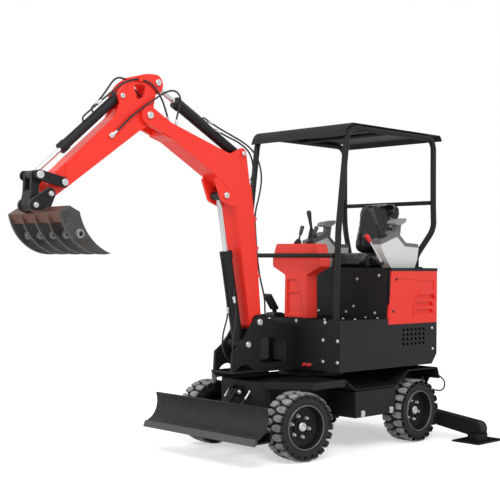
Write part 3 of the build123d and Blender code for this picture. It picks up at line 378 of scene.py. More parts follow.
# the way a wheel's axle points, to the left
def axleOf(wheel):
    turn = math.radians(steerDeg if "front" in wheel else 0)
    return Vector((-math.sin(turn), math.cos(turn), 0))


# each wheel's tread is dusted round its own axle
for wheel in wheels:
    finishes["tyre_" + wheel] = tyreRubber("treadRubber_" + wheel, "tyre_" + wheel, axleOf(wheel), rubber)

slotOf = {entry["node"]: entry["material_slot"] for entry in frame["record"]["subparts"]}
for name, piece in nodes.items():
    finish = finishes.get(name) or finishes.get(slotOf.get(name))
    if finish is None:
        print("no finish for", name)
        continue
    piece.data.materials.clear()
    piece.data.materials.append(finish)
print("finishes on", len(nodes), "pieces")

zinc = zincPlate("zincPlate", "#d9dadb")
hoseCover = hoseRubber("hydraulicHose", "#161617")
steelPipe = mouldedPlastic("paintedPipe", "#1a1a1c", 0.4, 5, 1)
redKnob = mouldedPlastic("redKnob", "#e2352b", 0.35, 3, 2)
trimGrey = mouldedPlastic("darkGreyAbs", "#6b6d70", 0.5, 3, 5)
gripGrey = mouldedPlastic("gripRubber", "#3b3c3f", 0.6, 3, 3)
blackRubber = mouldedPlastic("bellowsRubber", "#1c1c1d", 0.65, 4, 2)
# the pale grey ring on the rim's lip is a painted highlight, where the gloss rim reflects the light
rimLipHighlight = castMetal("rubbedRimLip", "#66686b", 0.6, 0.4)
turnedSteel = castMetal("turnedSteel", "#8f9092", 0.6, 0.42)
padGrey = mouldedPlastic("armrestFoam", "#97989b", 0.7, 6, 6)


# a place in millimetres: station along the machine from its slew axis, to the left, up
def spot(x, y, z):
    return Vector((slewX + x / 1000, y / 1000, z / 1000))


# the pin that a joint turns on, as a station and a height in millimetres
def pinOf(joint):
    place = next(j["pos_m"] for j in frame["joints"] if j["name"] == joint)
    return (place[0] - slewX) * 1000, place[2] * 1000


# a place on a ram: so far from its base pin, so far off its axis on the upper or rear side, and to the left
def onRam(ram, along, off, y):
    (x, z), (eyeX, eyeZ) = pinOf(ram["base"]), ram["eye"]
    run = math.hypot(eyeX - x, eyeZ - z)
    ux, uz = (eyeX - x) / run, (eyeZ - z) / run
    return x + along * ux - off * uz, y, z + along * uz + off * ux


boomRam = {"base": "boom_ram_barrel_turn", "eye": (930, 1746)}
armRam = {"base": "arm_ram_barrel_turn", "eye": (1500, 2427)}
rakeRam = {"base": "rake_ram_barrel_turn", "eye": (2378, 1791)}


def addObject(name, mesh, finish, crease=35):
    mesh.materials.clear()
    mesh.materials.append(finish)
    mesh.shade_smooth()
    mesh.set_sharp_from_angle(angle=math.radians(crease))
    piece = bpy.data.objects.new(name, mesh)
    bpy.context.scene.collection.objects.link(piece)
    return piece


def addPiece(name, body, shape, finish, crease=35):
    mesh = bpy.data.meshes.new(name)
    bmesh.ops.recalc_face_normals(shape, faces=shape.faces)
    shape.to_mesh(mesh)
    shape.free()
    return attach(addObject(name, mesh, finish, crease), body)


# a frame at a place whose height runs the way it faces
def seatOn(place, facing):
    turn = Vector((0, 0, 1)).rotation_difference(Vector(facing))
    return Matrix.Translation(place) @ turn.to_matrix().to_4x4()


# skins each ring of vertices to the next
def joinRings(shape, rings):
    for low, high in zip(rings, rings[1:]):
        for i in range(len(low)):
            shape.faces.new((low[i - 1], low[i], high[i], high[i - 1]))


# turns a profile of (radius, height) pairs, in millimetres, round an axis that starts at a place
def turnProfile(shape, profile, place, facing, sides=24, closed=False):
    seat = seatOn(place, facing)
    steps = [2 * math.pi * i / sides for i in range(sides)]
    rings = [[shape.verts.new(seat @ (Vector((r * math.cos(a), r * math.sin(a), h)) / 1000)) for a in steps]
             for r, h in profile]
    if closed:
        joinRings(shape, rings + rings[:1])
        return
    joinRings(shape, rings)
    shape.faces.new(rings[0])
    shape.faces.new(rings[-1])


# turns a closed profile into a ring
def turnRing(shape, profile, place, facing, sides=64):
    turnProfile(shape, profile, place, facing, sides, closed=True)


# pushes a side outline of (station, height) points across the machine
def pushOutline(shape, points, y0, y1):
    near, far = ([shape.verts.new(spot(x, y, z)) for x, z in points] for y in (y0, y1))
    joinRings(shape, [near, far])
    shape.faces.new(near)
    shape.faces.new(far)


# the outline of a plate between two stations and two heights
def plate(x0, x1, z0, z1):
    return [(x0, z0), (x1, z0), (x1, z1), (x0, z1)]


# a line through given points in millimetres
def layLine(name, points):
    line = bpy.data.curves.new(name, "CURVE")
    line.dimensions = "3D"
    run = line.splines.new("NURBS")
    run.points.add(len(points) - 1)
    for knot, point in zip(run.points, points):
        knot.co = (*spot(*point), 1)
    run.order_u = 3
    run.use_endpoint_u = True
    return line


def thicken(line, diameter, roundness, capped):
    line.bevel_depth = diameter / 2000
    line.bevel_resolution = roundness
    line.use_fill_caps = capped


bothSides = ((1, "Left"), (-1, "Right"))

# Pins of the front linkage: a plated head with a chamfer and a grease nipple on each end
pinHeads = {"lip": 1, "thick": 9}


def addPinHeads(name, body, pins):
    shape = bmesh.new()
    thick = pinHeads["thick"]
    for (x, z), radius, y in pins:
        rim = radius + pinHeads["lip"]
        head = [(rim, -5), (rim, thick - 3), (rim - 3, thick), (10, thick), (9, thick - 2), (5, thick - 2),
                (4, thick + 5), (2.5, thick + 7)]
        for side in (1, -1):
            turnProfile(shape, head, spot(x, side * y, z), (0, side, 0), 32)
    return addPiece(name, body, shape, zinc, 25)


addPinHeads("housePins", "house", [(pinOf("boom_lift"), 22, 101), (pinOf("boom_ram_barrel_turn"), 20, 101)])
addPinHeads("boomPins", "boom", [(pinOf("arm_crowd"), 22, 81.5), (boomRam["eye"], 20, 81.5),
                                 (pinOf("arm_ram_barrel_turn"), 15, 77.5)])
addPinHeads("armPins", "arm", [(armRam["eye"], 20, 56), (pinOf("rake_ram_barrel_turn"), 15, 54),
                               (pinOf("side_link_turn"), 20, 90), (pinOf("rake_curl"), 15, 72)])
addPinHeads("linkPins", "side_links", [(rakeRam["eye"], 22, 90)])
addPinHeads("rakePins", "rake", [(pinOf("h_link_turn"), 15, 70)])
addPinHeads("bladePins", "chassis", [(pinOf("blade_lift"), 15, 200),
                                     (pinOf("blade_ram_barrel_turn"), 15, 44)])

# Hexagon bolts with washers
boltSize = {"washer": 13, "head": 9}


def addBolts(name, body, places, facing, finish, scale=1.0):
    shape = bmesh.new()
    washer, head = boltSize["washer"] * scale, boltSize["head"] * scale
    for place in places:
        turnProfile(shape, [(washer, -1), (washer, 1.6), (washer - 1, 2)], spot(*place), facing, 20)
        turnProfile(shape, [(head, 1), (head, 6.5), (head - 1.2, 8)], spot(*place), facing, 6)
    return addPiece(name, body, shape, finish, 25)


addBolts("frontPlateBolts", "house", [(265, y, z) for z in (770, 623) for y in (-485, -353, 353, 485)],
         (1, 0, 0), zinc)
addBolts("floorEdgeBolts", "house", [(265, y, 892) for y in (-370, -170, 99, 370)], (1, 0, 0), zinc)
seatBoxBolts = [(23, 1212), (214, 1187), (416, 1215), (180, 985), (-166, 940), (109, 942), (381, 943)]
addBolts("seatBoxBolts", "house", [(-262, y, z) for y, z in seatBoxBolts], (1, 0, 0), zinc, 0.85)
addBolts("floorBolts", "house", [(x, y, 909) for x in (-220, 30, 225) for y in (-440, -330, 330, 440)],
         (0, 0, 1), zinc, 0.8)
for side, name in bothSides:
    y = side * 504
    addBolts("skirtBolts" + name, "house", [(-785, y, 824), (-793, y, 669)], (0, side, 0), zinc, 0.8)
    addBolts("coverScrews" + name, "house", [(-352, y, 1190), (-318, y, 960)], (0, side, 0),
             finishes["black_plastic"], 0.8)

# Tyres: a smooth casing with two staggered rows of deep lugs that run over the shoulder and down the flank
tread = {"lugs": 22, "base": 203, "top": 227.5, "half": 87, "flank": 186, "shoulder": 80, "drop": 5}
lugTop = [(-20, 87), (20, 87), (25, 58), (20, 24), (2, 4), (-20, 22), (-25, 56)]


def addTyre(wheel, centre, out):
    shape = bmesh.new()
    base, half = tread["base"], tread["half"]
    reach = 227  # the lugs' outlines are laid out at this radius
    flank = tread["flank"]
    wall = [(150, half - 10), (158, half - 3), (172, half - 1), (flank, half - 4), (base, half - 26)]
    turnRing(shape, [(r, -h) for r, h in wall] + wall[::-1], centre, out, 88)
    seat = seatOn(centre, out)

    def at(angle, radius, across):
        offset = Vector((radius * math.cos(angle), radius * math.sin(angle), across)) / 1000
        return shape.verts.new(seat @ offset)

    for side in (1, -1):
        for i in range(tread["lugs"]):
            turn = 2 * math.pi * (i + 0.25 * side) / tread["lugs"]
            rings = []
            for radius, spread in ((base - 6, 1.12), (tread["top"] - 4, 1.0), (tread["top"], 0.9)):
                drop = tread["drop"] if radius > base else 0
                rings.append([at(turn + spread * t / reach, radius - drop * (w > tread["shoulder"]), side * w)
                              for t, w in lugTop])
            joinRings(shape, rings)
            shape.faces.new(rings[-1])
            low, high = ([at(turn + t / reach, r, side * w) for r, w, t in
                          ((flank, half - 5, -15 * s), (base, half, -19 * s), (222, half, -19 * s),
                           (222, half - 30, -19 * s), (flank, half - 30, -15 * s))] for s in (1, -1))
            joinRings(shape, [low, high])
            shape.faces.new(low)
            shape.faces.new(high)
    tyre = addPiece("tyre_" + wheel + "_lugged", "wheel_" + wheel, shape, finishes["tyre_" + wheel], 30)
    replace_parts(tyre, "tyre_" + wheel)


# Wheel nuts on their ring, the cap of the hub and a pale ring on the rim's lip that is a painted highlight
hub = {"nuts": 6, "ring": 72, "face": 12, "boss": 26, "spindle": 40, "cap": 30}
face, cap, spindle = hub["face"], hub["cap"], hub["spindle"]
for wheel in wheels:
    low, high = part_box("rim_" + wheel)
    centre = (Vector(low) + Vector(high)) / 2
    out = axleOf(wheel) * (1 if "left" in wheel else -1)
    lead = out.cross(Vector((0, 0, 1)))
    shape = bmesh.new()
    for i in range(hub["nuts"]):
        a = 2 * math.pi * (i + 0.25) / hub["nuts"]
        seat = centre + (lead * math.cos(a) + Vector((0, 0, 1)) * math.sin(a)) * hub["ring"] / 1000
        turnProfile(shape, [(14, face - 1), (13, face + 4)], seat, out, 20)
        turnProfile(shape, [(11, face + 3), (11, face + 16), (8, face + 20)], seat, out, 6)
    turnProfile(shape, [(cap, hub["boss"] - 2), (cap, spindle + 4), (cap - 4, spindle + 8),
                        (cap - 10, spindle + 8), (cap - 12, spindle + 1)], centre, out, 32)
    addPiece("wheelNuts_" + wheel, "wheel_" + wheel, shape, zinc, 25)
    # a pale ring on the rim's lip: a painted highlight
    shape = bmesh.new()
    turnRing(shape, [(139, 78), (139, 85), (142, 88), (146, 88), (150, 84), (151, 78)], centre, out)
    addPiece("rimLip_" + wheel, "wheel_" + wheel, shape, rimLipHighlight, 50)
    addTyre(wheel, centre, out)

# Side toolboxes: a folded box with a raised door, a latch slot and two hinges along its lower edge
toolbox = {"front": 95, "rear": -350, "top": 415, "bottom": 233, "inside": 240, "outside": 503, "door": 14}
hinge = {"stations": (15, -299), "height": 258, "leaf": 21, "long": 40}
for side, name in bothSides:
    shape = bmesh.new()
    front, rear, top, bottom, door = (toolbox[k] for k in ("front", "rear", "top", "bottom", "door"))
    pushOutline(shape, plate(rear, front, bottom, top), side * toolbox["inside"], side * toolbox["outside"])
    pushOutline(shape, plate(rear + 8, front - 8, bottom + 6, top - door),
                side * (toolbox["outside"] - 2), side * (toolbox["outside"] + 2))
    box = addPiece("toolbox" + name, "chassis", shape, finishes["black_paint"])
    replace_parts(box, "toolbox_" + name.lower())
    shape = bmesh.new()
    pushOutline(shape, [(-137, 294), (-127, 294), (-122, 376), (-132, 376)], side * 503, side * 506)
    addPiece("toolboxLatch" + name, "chassis", shape, blackRubber)
    shape = bmesh.new()
    y = side * 505
    for x in hinge["stations"]:
        half, leaf, z = hinge["long"] / 2, hinge["leaf"], hinge["height"]
        for z0, z1 in ((z - leaf, z - 3), (z + 3, z + leaf)):
            pushOutline(shape, plate(x - half, x + half, z0, z1), y - side, y + 3 * side)
            for dx in (-half / 2, half / 2):
                turnProfile(shape, [(5, 2), (5, 4), (3, 6)], spot(x + dx, y, (z0 + z1) / 2), (0, side, 0), 12)
        turnProfile(shape, [(5, 0), (5, hinge["long"])], spot(x - half, y + 4 * side, z), (1, 0, 0), 12)
    addPiece("toolboxHinges" + name, "chassis", shape, zinc, 25)

# Sleeves in the holes of the tines
sleeve = {"hole": (2236, 1456), "inner": 14.5, "outer": 27, "half": 24, "tines": 5, "pitch": 133.5}
inner, outer, half = sleeve["inner"], sleeve["outer"], sleeve["half"]
ring = [(inner, -half), (outer - 3, -half), (outer, 3 - half), (outer, half - 3), (outer - 3, half),
        (inner, half)]
shape = bmesh.new()
for i in range(sleeve["tines"]):
    y = (i - (sleeve["tines"] - 1) / 2) * sleeve["pitch"]
    turnRing(shape, ring, spot(sleeve["hole"][0], y, sleeve["hole"][1]), (0, 1, 0), 32)
addPiece("tineSleeves", "rake", shape, turnedSteel, 40)

# Returns that close the gap between the seat box and its side covers
shape = bmesh.new()
for side in (1, -1):
    pushOutline(shape, plate(-282, -274, 870, 1264), side * 480, side * 502)
addPiece("seatBoxReturns", "house", shape, finishes["black_paint"])

# Red plates behind the slots of the side covers, so that each slot is a shallow recess
shape = bmesh.new()
for side in (1, -1):
    pushOutline(shape, plate(-835, -560, 930, 1082), side * 484, side * 487.6)
addPiece("coverSlotPlates", "house", shape, finishes["red_paint"])

# Lid of the seat box: a folded sheet whose flanges lap over the side covers
shape = bmesh.new()
pushOutline(shape, plate(-846, -262, 1268.4, 1271), -507, 507)
for side in (1, -1):
    pushOutline(shape, [(-282, 1270), (-846, 1270), (-846, 1250), (-296, 1250)], side * 504.4, side * 507)
addPiece("seatBoxLid", "house", shape, finishes["black_paint"])

# Canopy hoops: a bent tube each, whose rear leg comes in to its foot behind the armrest
hoop = {"diameter": 44, "side": 442, "footSide": 330, "foot": -815}
for side, name in bothSides:
    out, inner, foot = side * hoop["side"], side * hoop["footSide"], hoop["foot"]
    points = [(232, out, 909), (232, out, 935), (232, out, 960), (230, out, 1020), (217, out, 1470),
              (215, out, 1529), (208, out, 1588), (150, out, 2054), (126, out, 2252.7), (-74, out, 2252.7),
              (-673, out, 2252.7), (-873, out, 2252.7), (-873, out, 2052), (-876, out, 1700),
              (-888, out, 1573), (-852, side * 388, 1468), (foot, inner, 1362), (foot, inner, 1310),
              (foot, inner, 1272)]
    line = layLine("hoop" + name, points)
    thicken(line, hoop["diameter"], 6, True)
    holder = bpy.data.objects.new("hoop" + name, line)
    shape = bmesh.new()
    shape.from_mesh(bpy.data.meshes.new_from_object(holder))
    bpy.data.objects.remove(holder)
    pushOutline(shape, plate(188, 254, 908, 917), out - 36 * side, out + 22 * side)
    pushOutline(shape, plate(foot - 44, foot + 44, 1269, 1279), inner - 30, inner + 30)
    tube = addPiece("canopyHoop" + name, "house", shape, finishes["black_paint"])
    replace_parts(tube, "canopy_hoop_" + name.lower())
print("pins, bolts, wheels, boxes and hoops set")

# Hydraulic hoses: points given in millimetres; each runs between a joint's two bodies, with its fittings on those
# bodies
hoseSize = {"diameter": 12, "small": 10}


def addHose(name, bodies, points, diameter=hoseSize["diameter"],
            fitted=("Start", "End"), sleeveMm=40):
    line = layLine(name + "Line", points)
    line.splines[0].resolution_u = 10
    holder = bpy.data.objects.new(name + "Line", line)
    path = [v.co.copy() for v in bpy.data.meshes.new_from_object(holder).vertices]
    thicken(line, diameter, 3, False)
    hose = addObject(name, bpy.data.meshes.new_from_object(holder), hoseCover, 60)
    bpy.data.objects.remove(holder)
    places = (("Start", bodies[0], path[0], path[2]), ("End", bodies[1], path[-1], path[-3]))
    for end, body, place, toward in places:
        if end not in fitted:
            continue
        shape = bmesh.new()
        thick, way = diameter / 2, toward - place
        turnProfile(shape, [(thick + 5, -4), (thick + 5, 12)], place, way, 6)
        turnProfile(shape, [(thick + 2.5, 11), (thick + 3, 16), (thick + 3, sleeveMm - 4),
                            (thick + 1.2, sleeveMm)], place, way, 20)
        addPiece(name + end, body, shape, zinc, 25)
    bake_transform(hose)
    print(name, "length", round(sum((b - a).length for a, b in zip(path, path[1:])), 3))


addHose("boomRiserHose", ("house", "boom"), [
    (266, 30, 826), (330, 30, 826), (420, 32, 830), (500, 38, 862), (527, 46, 960), (536, 54, 1060),
    (590, 60, 1190), (618, 60, 1330), (634, 60, 1480), (645, 60, 1600)], fitted=("Start",))
addHose("armRamFeedHose", ("boom", "arm_barrel"), [
    (645, 60, 1600), (640, 60, 1660), (596, 56, 1770), (566, 48, 1900), (600, 38, 2030), (700, 30, 2110),
    (860, 24, 2165), onRam(armRam, 260, 52, 20), onRam(armRam, 330, 48, 16)], fitted=("End",))
addHose("armRamReturnHose", ("boom", "arm_barrel"), [
    (700, 44, 1826), (668, 46, 1868), (650, 52, 1940), (690, 58, 2050), (790, 56, 2110), (900, 46, 2142),
    onRam(armRam, 262, 22, 34)])

# the rake's two hoses pass a clip on the arm, where each changes bodies
addHose("rakeFeedHose", ("boom", "arm"), [
    (1404, 46, 2186), (1424, 52, 2236), (1478, 62, 2336), (1548, 64, 2406), (1600, 63, 2424),
    (1650, 62, 2428)], fitted=("Start",))
addHose("rakeFeedTail", ("arm", "rake_barrel"), [
    (1650, 62, 2428), (1700, 61, 2424), (1770, 52, 2394), (1830, 26, 2338), onRam(rakeRam, 110, 54, 13),
    onRam(rakeRam, 160, 54, 13)], fitted=("End",))
addHose("rakeReturnHose", ("boom", "arm"), [
    (1432, -10, 2195), (1460, -10, 2238), (1530, -8, 2290), (1600, -6, 2340), (1656, -6, 2388),
    (1700, -6, 2424)], fitted=("Start",))
addHose("rakeReturnTail", ("arm", "rake_barrel"), [
    (1700, -6, 2424), (1744, -8, 2440), (1796, -10, 2420), (1838, -12, 2360), onRam(rakeRam, 120, 54, -13),
    onRam(rakeRam, 166, 54, -13)], fitted=("End",))
addHose("armSideHose", ("boom", "arm"), [
    (1352, 56, 2168), (1350, 58, 2226), (1328, 66, 2294), (1330, 74, 2360), (1384, 80, 2392),
    (1460, 82, 2372), (1550, 76, 2312), (1640, 70, 2250), (1720, 66, 2190), (1800, 62, 2112),
    (1850, 58, 2066)])
addHose("boomRamFrontHose", ("house", "boom_barrel"), [
    (806, 24, 573), (816, 20, 622), (858, 12, 664), (888, 4, 730), (876, 0, 830),
    onRam(boomRam, 205, -56, 0), onRam(boomRam, 262, -50, 0)])
addHose("boomRamSideHose", ("house", "boom_barrel"), [
    (812, 52, 573), (814, 52, 622), (838, 54, 690), (836, 56, 780), (816, 56, 880), (806, 54, 980),
    onRam(boomRam, 330, -22, 44)])
for side, name in bothSides:
    addHose("bladeHose" + name, ("chassis", "blade_barrel"), [
        (719, side * 100, 430), (752, side * 100, 392), (796, side * 98, 348), (840, side * 74, 330),
        (852, side * 27, 350)], hoseSize["small"], sleeveMm=66)
    leg = name.lower()
    addHose("legHose" + name, ("chassis", "leg_barrel_" + leg),
            [
        (-1008, side * 250, 452), (-1066, side * 262, 456), (-1126, side * 318, 440),
        (-1160, side * 366, 380), (-1112, side * 376, 318), (-1036, side * 346, 322),
        (-975, side * 304, 360)])

# Steel pipes on the rams, clipped to their barrels
pipeSize = {"diameter": 11}


def addPipe(name, body, ram, places):
    line = layLine(name, [onRam(ram, *place) for place in places])
    thicken(line, pipeSize["diameter"], 3, True)
    line.materials.append(steelPipe)
    pipe = bpy.data.objects.new(name, line)
    bpy.context.scene.collection.objects.link(pipe)
    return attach(pipe, body)


addPipe("armRamPipe", "arm_barrel", armRam, [
    (330, 48, 16), (356, 48, 14), (372, 48, 10), (374, 40, 6), (374, 30, 4)])
addPipe("armRamEndPipe", "arm_barrel", armRam, [
    (290, 36, -14), (300, 46, -14), (330, 48, -14), (560, 48, -14), (590, 46, -14), (592, 30, -12)])
addPipe("rakeRamPipe", "rake_barrel", rakeRam, [
    (160, 54, 13), (250, 56, 13), (292, 56, 10), (306, 44, 6), (308, 26, 4)])
addPipe("rakeRamBasePipe", "rake_barrel", rakeRam, [
    (166, 54, -13), (196, 54, -12), (206, 44, -8), (206, 26, -6)])
addPipe("boomRamPipe", "boom_barrel", boomRam, [
    (262, -50, 0), (300, -48, 0), (560, -48, 0), (604, -50, 0), (610, -36, 0)])
addPipe("boomRamSidePipe", "boom_barrel", boomRam, [
    (330, -22, 44), (372, -14, 46), (384, -6, 44), (386, -2, 30)])

# Hose clips: red clamps on the backs of the boom and the arm, and a plated port on the arm's cheek
clip = {"high": 20, "deep": 20, "wide": 26}
shape = bmesh.new()
for z in (1212, 1400, 1600):
    x = 590 + 69 * (z - 915) / 682
    pushOutline(shape, plate(x - clip["deep"], x + 4, z - clip["high"] / 2, z + clip["high"] / 2),
                60 - clip["wide"] / 2, 60 + clip["wide"] / 2)
addPiece("boomClips", "boom", shape, finishes["red_paint"])
shape = bmesh.new()
pushOutline(shape, plate(1636, 1664, 2416, 2438), 50, 74)
pushOutline(shape, plate(1688, 1712, 2410, 2436), -36, 36)
addPiece("armClips", "arm", shape, finishes["red_paint"])
shape = bmesh.new()
turnProfile(shape, [(17, 0), (17, 22), (12, 30), (8, 34)], spot(1862, 48, 2056), (-0.5, 0.5, 0.55), 6)
addPiece("armSidePort", "arm", shape, zinc, 25)

# Quick couplers with dust caps, low on the front plate
coupler = {"body": 11, "cap": 13}
shape = bmesh.new()
caps = bmesh.new()
body, cap = coupler["body"], coupler["cap"]
for y in (200, 243):
    place = spot(265, y, 593)
    turnProfile(shape, [(body, -2), (body, 16)], place, (1, 0, 0), 6)
    turnProfile(caps, [(cap, 14), (cap, 30), (cap - 3, 34)], place, (1, 0, 0), 20)
addPiece("couplers", "house", shape, zinc, 25)
addPiece("dustCaps", "house", caps, redKnob, 30)
print("hoses, pipes and clips set")

# Armrests: a pale box with a raised crest, a darker top moulding, and a padded rest on a short stem
# The right one stands nearer the middle than the left one
armrest = {"inside": 360, "outside": 440, "nearer": 115}
top = [(-246, 1474), (-276, 1482), (-351, 1510), (-433, 1545), (-468, 1514), (-542, 1457), (-690, 1450)]
under = [(-698, 1418), (-684, 1334), (-650, 1268), (-372, 1268), (-300, 1352), (-262, 1414), (-254, 1440)]
moulding = top + [(-694, 1424), (-534, 1430), (-440, 1500), (-362, 1476), (-280, 1448), (-250, 1442)]
pad = [(-412, 1596), (-420, 1612), (-444, 1622), (-540, 1638), (-550, 1626), (-536, 1606), (-480, 1584),
       (-430, 1586)]
stem = [(-452, 1520), (-500, 1480), (-520, 1600), (-462, 1600)]
boxes, trims, pads = bmesh.new(), bmesh.new(), bmesh.new()
for side, shift in ((1, 0), (-1, armrest["nearer"])):
    inside, outside = side * armrest["inside"] + shift, side * armrest["outside"] + shift
    pushOutline(boxes, [(x - 3, z - 3) for x, z in top] + under, inside, outside)
    pushOutline(trims, moulding, inside - 2 * side, outside + 2 * side)
    pushOutline(trims, stem, inside + 22 * side, outside - 24 * side)
    pushOutline(pads, pad, inside + 4 * side, outside + side)
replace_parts(addPiece("armrestBoxes", "house", boxes, finishes["grey_plastic"], 30), "armrests")
addPiece("armrestMouldings", "house", trims, trimGrey, 30)
addPiece("armrestPads", "house", pads, padGrey, 30)

# Controls: joysticks with pleated boots, short console levers, one red-knobbed lever on the left, one pedal
stick = {"foot": (-318, 398, 1492), "head": (-228, 360, 1698), "pleats": 5}
boots, sticks, grips = bmesh.new(), bmesh.new(), bmesh.new()
for side, shift in ((1, 0), (-1, armrest["nearer"])):
    (x, y, z), (headX, headY, headZ) = stick["foot"], stick["head"]
    foot, head = spot(x, side * y + shift, z), spot(headX, side * headY + shift, headZ)
    lean = head - foot
    folds = []
    for i in range(stick["pleats"]):
        folds += [(44 - 5 * i, 16 * i - 6), (37 - 5 * i, 16 * i + 2)]
    turnProfile(boots, folds + [(14, 80)], foot, lean, 28)
    turnProfile(sticks, [(10, 60), (10, 130)], foot, lean, 16)
    turnProfile(grips, [(10, 104), (12, 116), (13, 150), (16, 190), (19, 208), (18, 222), (11, 230)],
                foot, lean, 24)
for y, foot, head in ((-30, (120, 1438), (70, 1566)), (90, (116, 1438), (48, 1560))):
    low, high = spot(foot[0], y, foot[1]), spot(head[0], y, head[1])
    lean = high - low
    long = lean.length * 1000
    grip = [(9, long - 66), (13.5, long - 54), (14, long - 20), (16, long - 4), (14, long + 3), (7, long + 6)]
    turnProfile(boots, [(30, 0), (26, 8), (27, 13), (21, 21), (22, 26), (10, 40)], low, lean, 24)
    turnProfile(sticks, [(7, 20), (7, long - 40)], low, lean, 12)
    turnProfile(grips, grip, low, lean, 20)
low, high = spot(-250, 452, 1304), spot(-80, 452, 1494)
lean = high - low
long = lean.length * 1000
shank = bmesh.new()
turnProfile(shank, [(8, 0), (8, long - 40)], low, lean, 12)
turnProfile(sticks, [(16, -14), (16, 12)], spot(-250, 450, 1304), (0, 1, 0), 20)
pushOutline(sticks, [(122, 968), (136, 956), (216, 1060), (202, 1074)], -288, -212)
pushOutline(sticks, [(112, 930), (136, 930), (160, 990), (140, 996)], -262, -238)
pushOutline(sticks, [(78, 908), (178, 908), (170, 936), (88, 936)], -292, -208)
knob = bmesh.new()
ball = [(9, long - 52), (16, long - 44), (17.5, long - 10), (16, long + 8), (8, long + 14)]
turnProfile(knob, ball, low, lean, 20)
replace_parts(addPiece("leverShafts", "house", sticks, finishes["black_plastic"], 40), "control_levers")
addPiece("leverBoots", "house", boots, blackRubber, 20)
addPiece("leverGrips", "house", grips, gripGrey, 40)
addPiece("leverKnob", "house", knob, redKnob, 40)
addPiece("leverShank", "house", shank, zinc, 40)

# Seat belt buckle on the far side of the cushion, with its red button
buckle = {"x": -507, "y": -216, "top": 1378}
shape, button = bmesh.new(), bmesh.new()
x, y, z = buckle["x"], buckle["y"], buckle["top"]
strap = [(x - 16, z - 108), (x + 4, z - 108), (x + 14, z - 50), (x + 22, z), (x - 22, z), (x - 20, z - 50)]
pushOutline(shape, strap, y - 8, y + 8)
pushOutline(button, [(x - 17, z - 14), (x + 17, z - 14), (x + 15, z + 6), (x - 15, z + 6)], y - 7, y + 10)
addPiece("beltBuckle", "house", shape, blackRubber, 30)
addPiece("beltButton", "house", button, redKnob, 30)


# Seat pads: foam under vinyl, blown up from a smaller copy of the solid and held flat where it rests
padding = {"shrinkMm": 9, "voxelMm": 6, "pressure": 2, "capMm": 15, "steps": 20, "heldMm": 8,
           "calm": 12}


def addPad(name, node, restAxis, restSide, seatMm, leanMm=(0, 0), growMm=0):
    source = nodes[node]
    low, high = (Vector(c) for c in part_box(node))
    centre, size = (low + high) / 2, high - low
    mesh = source.data.copy()
    for v in mesh.vertices:
        keep = [1 - 2 * padding["shrinkMm"] / 1000 / s for s in size]
        v.co = centre + Vector([(c - m) * k for c, m, k in zip(v.co, centre, keep)])
        v.co += Vector(seatMm) / 1000
    pad = addObject(name, mesh, finishes["seat_vinyl"], 60)
    remesh = pad.modifiers.new("voxels", "REMESH")
    remesh.mode = "VOXEL"
    remesh.voxel_size = padding["voxelMm"] / 1000
    pad.data = bpy.data.meshes.new_from_object(pad.evaluated_get(bpy.context.evaluated_depsgraph_get()))
    pad.modifiers.clear()
    start = [v.co.copy() for v in pad.data.vertices]
    edge = min(restSide * c[restAxis] for c in start) + padding["heldMm"] / 1000
    held = pad.vertex_groups.new(name="held")
    held.add([i for i, c in enumerate(start) if restSide * c[restAxis] < edge], 1.0, "REPLACE")
    cloth = pad.modifiers.new("blow", "CLOTH")
    cloth.settings.use_pressure = True
    cloth.settings.uniform_pressure_force = padding["pressure"]
    cloth.settings.vertex_group_mass = "held"
    cloth.settings.effector_weights.gravity = 0
    for step in range(1, padding["steps"] + 1):
        bpy.context.scene.frame_set(step)
    blown = bpy.data.meshes.new_from_object(pad.evaluated_get(bpy.context.evaluated_depsgraph_get()))
    pad.modifiers.clear()
    bpy.context.scene.frame_set(1)
    cap = padding["capMm"] / 1000
    for v, was, now in zip(pad.data.vertices, start, [v.co.copy() for v in blown.vertices]):
        move = now - was
        v.co = was + (move if move.length < cap else move.normalized() * cap)
    calm = pad.modifiers.new("calm", "SMOOTH")
    calm.iterations = padding["calm"]
    smooth = pad.modifiers.new("smooth", "SUBSURF")
    smooth.levels = smooth.render_levels = 1
    for v in pad.data.vertices:
        rise = (v.co.z - low.z) / size.z
        v.co += Vector((leanMm[0] * (1 - rise) + leanMm[1] * rise, 0, growMm * rise)) / 1000
    pad.data.materials.clear()
    pad.data.materials.append(finishes["seat_vinyl"])
    pad.data.shade_smooth()
    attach(pad, "house")
    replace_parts(pad, node)
    return pad


addPad("seatCushionPad", "seat_cushion", 2, 1, (0, 0, -9))
addPad("seatBackPad", "seat_back", 0, 1, (-9, 0, -18), (40, -5), 34)
print("operator's place set")

# studio: a pale floor, a white surround and soft light from above and from the camera's side
studio = {"floor": "#f4f4f4", "lift": 0.5, "surround": 0.62, "key": 210, "fill": 70}
floorMesh = bpy.data.meshes.new("floor")
floorMesh.from_pydata([(-30, -30, 0), (30, -30, 0), (30, 30, 0), (-30, 30, 0)], [], [(0, 1, 2, 3)])
floor = bpy.data.objects.new("floor", floorMesh)
floor.location.z = cadBox[0][2] - 0.0005
bpy.context.scene.collection.objects.link(floor)
paper, tree, shader = startMaterial("paperFloor", studio["floor"], Roughness=0.9)
# seen by the camera, the paper is lifted to white and keeps the shadow that falls on it
rays = addNode(tree, "LightPath")
lift = addNode(tree, "MapRange", {"To Max": studio["lift"]}, {"Value": rays.outputs["Is Camera Ray"]})
tree.links.new(lift.outputs["Result"], shader.inputs["Emission Strength"])
floorMesh.materials.append(paper)

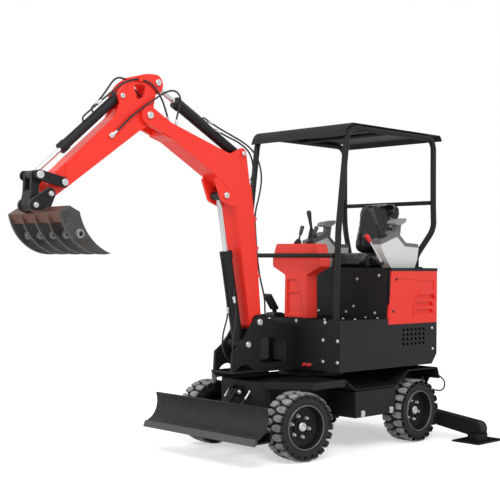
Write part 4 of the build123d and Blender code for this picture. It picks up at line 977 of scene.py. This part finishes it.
world = bpy.data.worlds.new("studio")
world.use_nodes = True
bpy.context.scene.world = world
tree = world.node_tree
rays = addNode(tree, "LightPath")
seen = addNode(tree, "Math", {"operation": "MAXIMUM"}, {0: rays.outputs["Is Camera Ray"],
                                                        1: rays.outputs["Is Glossy Ray"]})
level = addNode(tree, "MapRange", {"To Min": studio["surround"], "To Max": 1.0},
                {"Value": seen.outputs["Value"]})
tree.nodes["Background"].inputs["Color"].default_value = (1, 1, 1, 1)
tree.links.new(level.outputs["Result"], tree.nodes["Background"].inputs["Strength"])


def addPanel(name, place, aim, size, power):
    lamp = bpy.data.lights.new(name, "AREA")
    lamp.shape = "DISK"
    lamp.size = size
    lamp.energy = power
    panel = bpy.data.objects.new(name, lamp)
    panel.location = place
    panel.rotation_euler = (Vector(aim) - Vector(place)).to_track_quat("-Z", "Y").to_euler()
    bpy.context.scene.collection.objects.link(panel)


addPanel("keyPanel", (3.0, 4.5, 6.0), (0, 0, 1), 4.0, studio["key"])
addPanel("fillPanel", (5.5, -2.0, 3.0), (0, 0, 1), 3.0, studio["fill"])

# camera at the photograph's place, image taken as 500 x 500
view = {"place": (4.9766, 5.1635, 1.3024), "yaw": -134.1206, "pitch": 0.6795, "roll": 0.4927,
        "focalPx": 1043.56}
yaw, pitch, roll = (math.radians(view[k]) for k in ("yaw", "pitch", "roll"))
ahead = Vector((math.cos(yaw) * math.cos(pitch), math.sin(yaw) * math.cos(pitch), math.sin(pitch)))
right = Vector((math.sin(yaw), -math.cos(yaw), 0))
up = right.cross(ahead)
tiltRight = right * math.cos(roll) + up * math.sin(roll)
tiltUp = up * math.cos(roll) - right * math.sin(roll)
lens = bpy.data.cameras.new("camera")
lens.sensor_width = 36
lens.lens = view["focalPx"] / 500 * 36
camera = bpy.data.objects.new("camera", lens)
turn = Matrix((tiltRight, tiltUp, -ahead)).transposed().to_4x4()
camera.matrix_world = Matrix.Translation(view["place"]) @ turn
bpy.context.scene.collection.objects.link(camera)
bpy.context.scene.camera = camera
bpy.context.scene.view_settings.view_transform = "Standard"
print("studio and camera set")
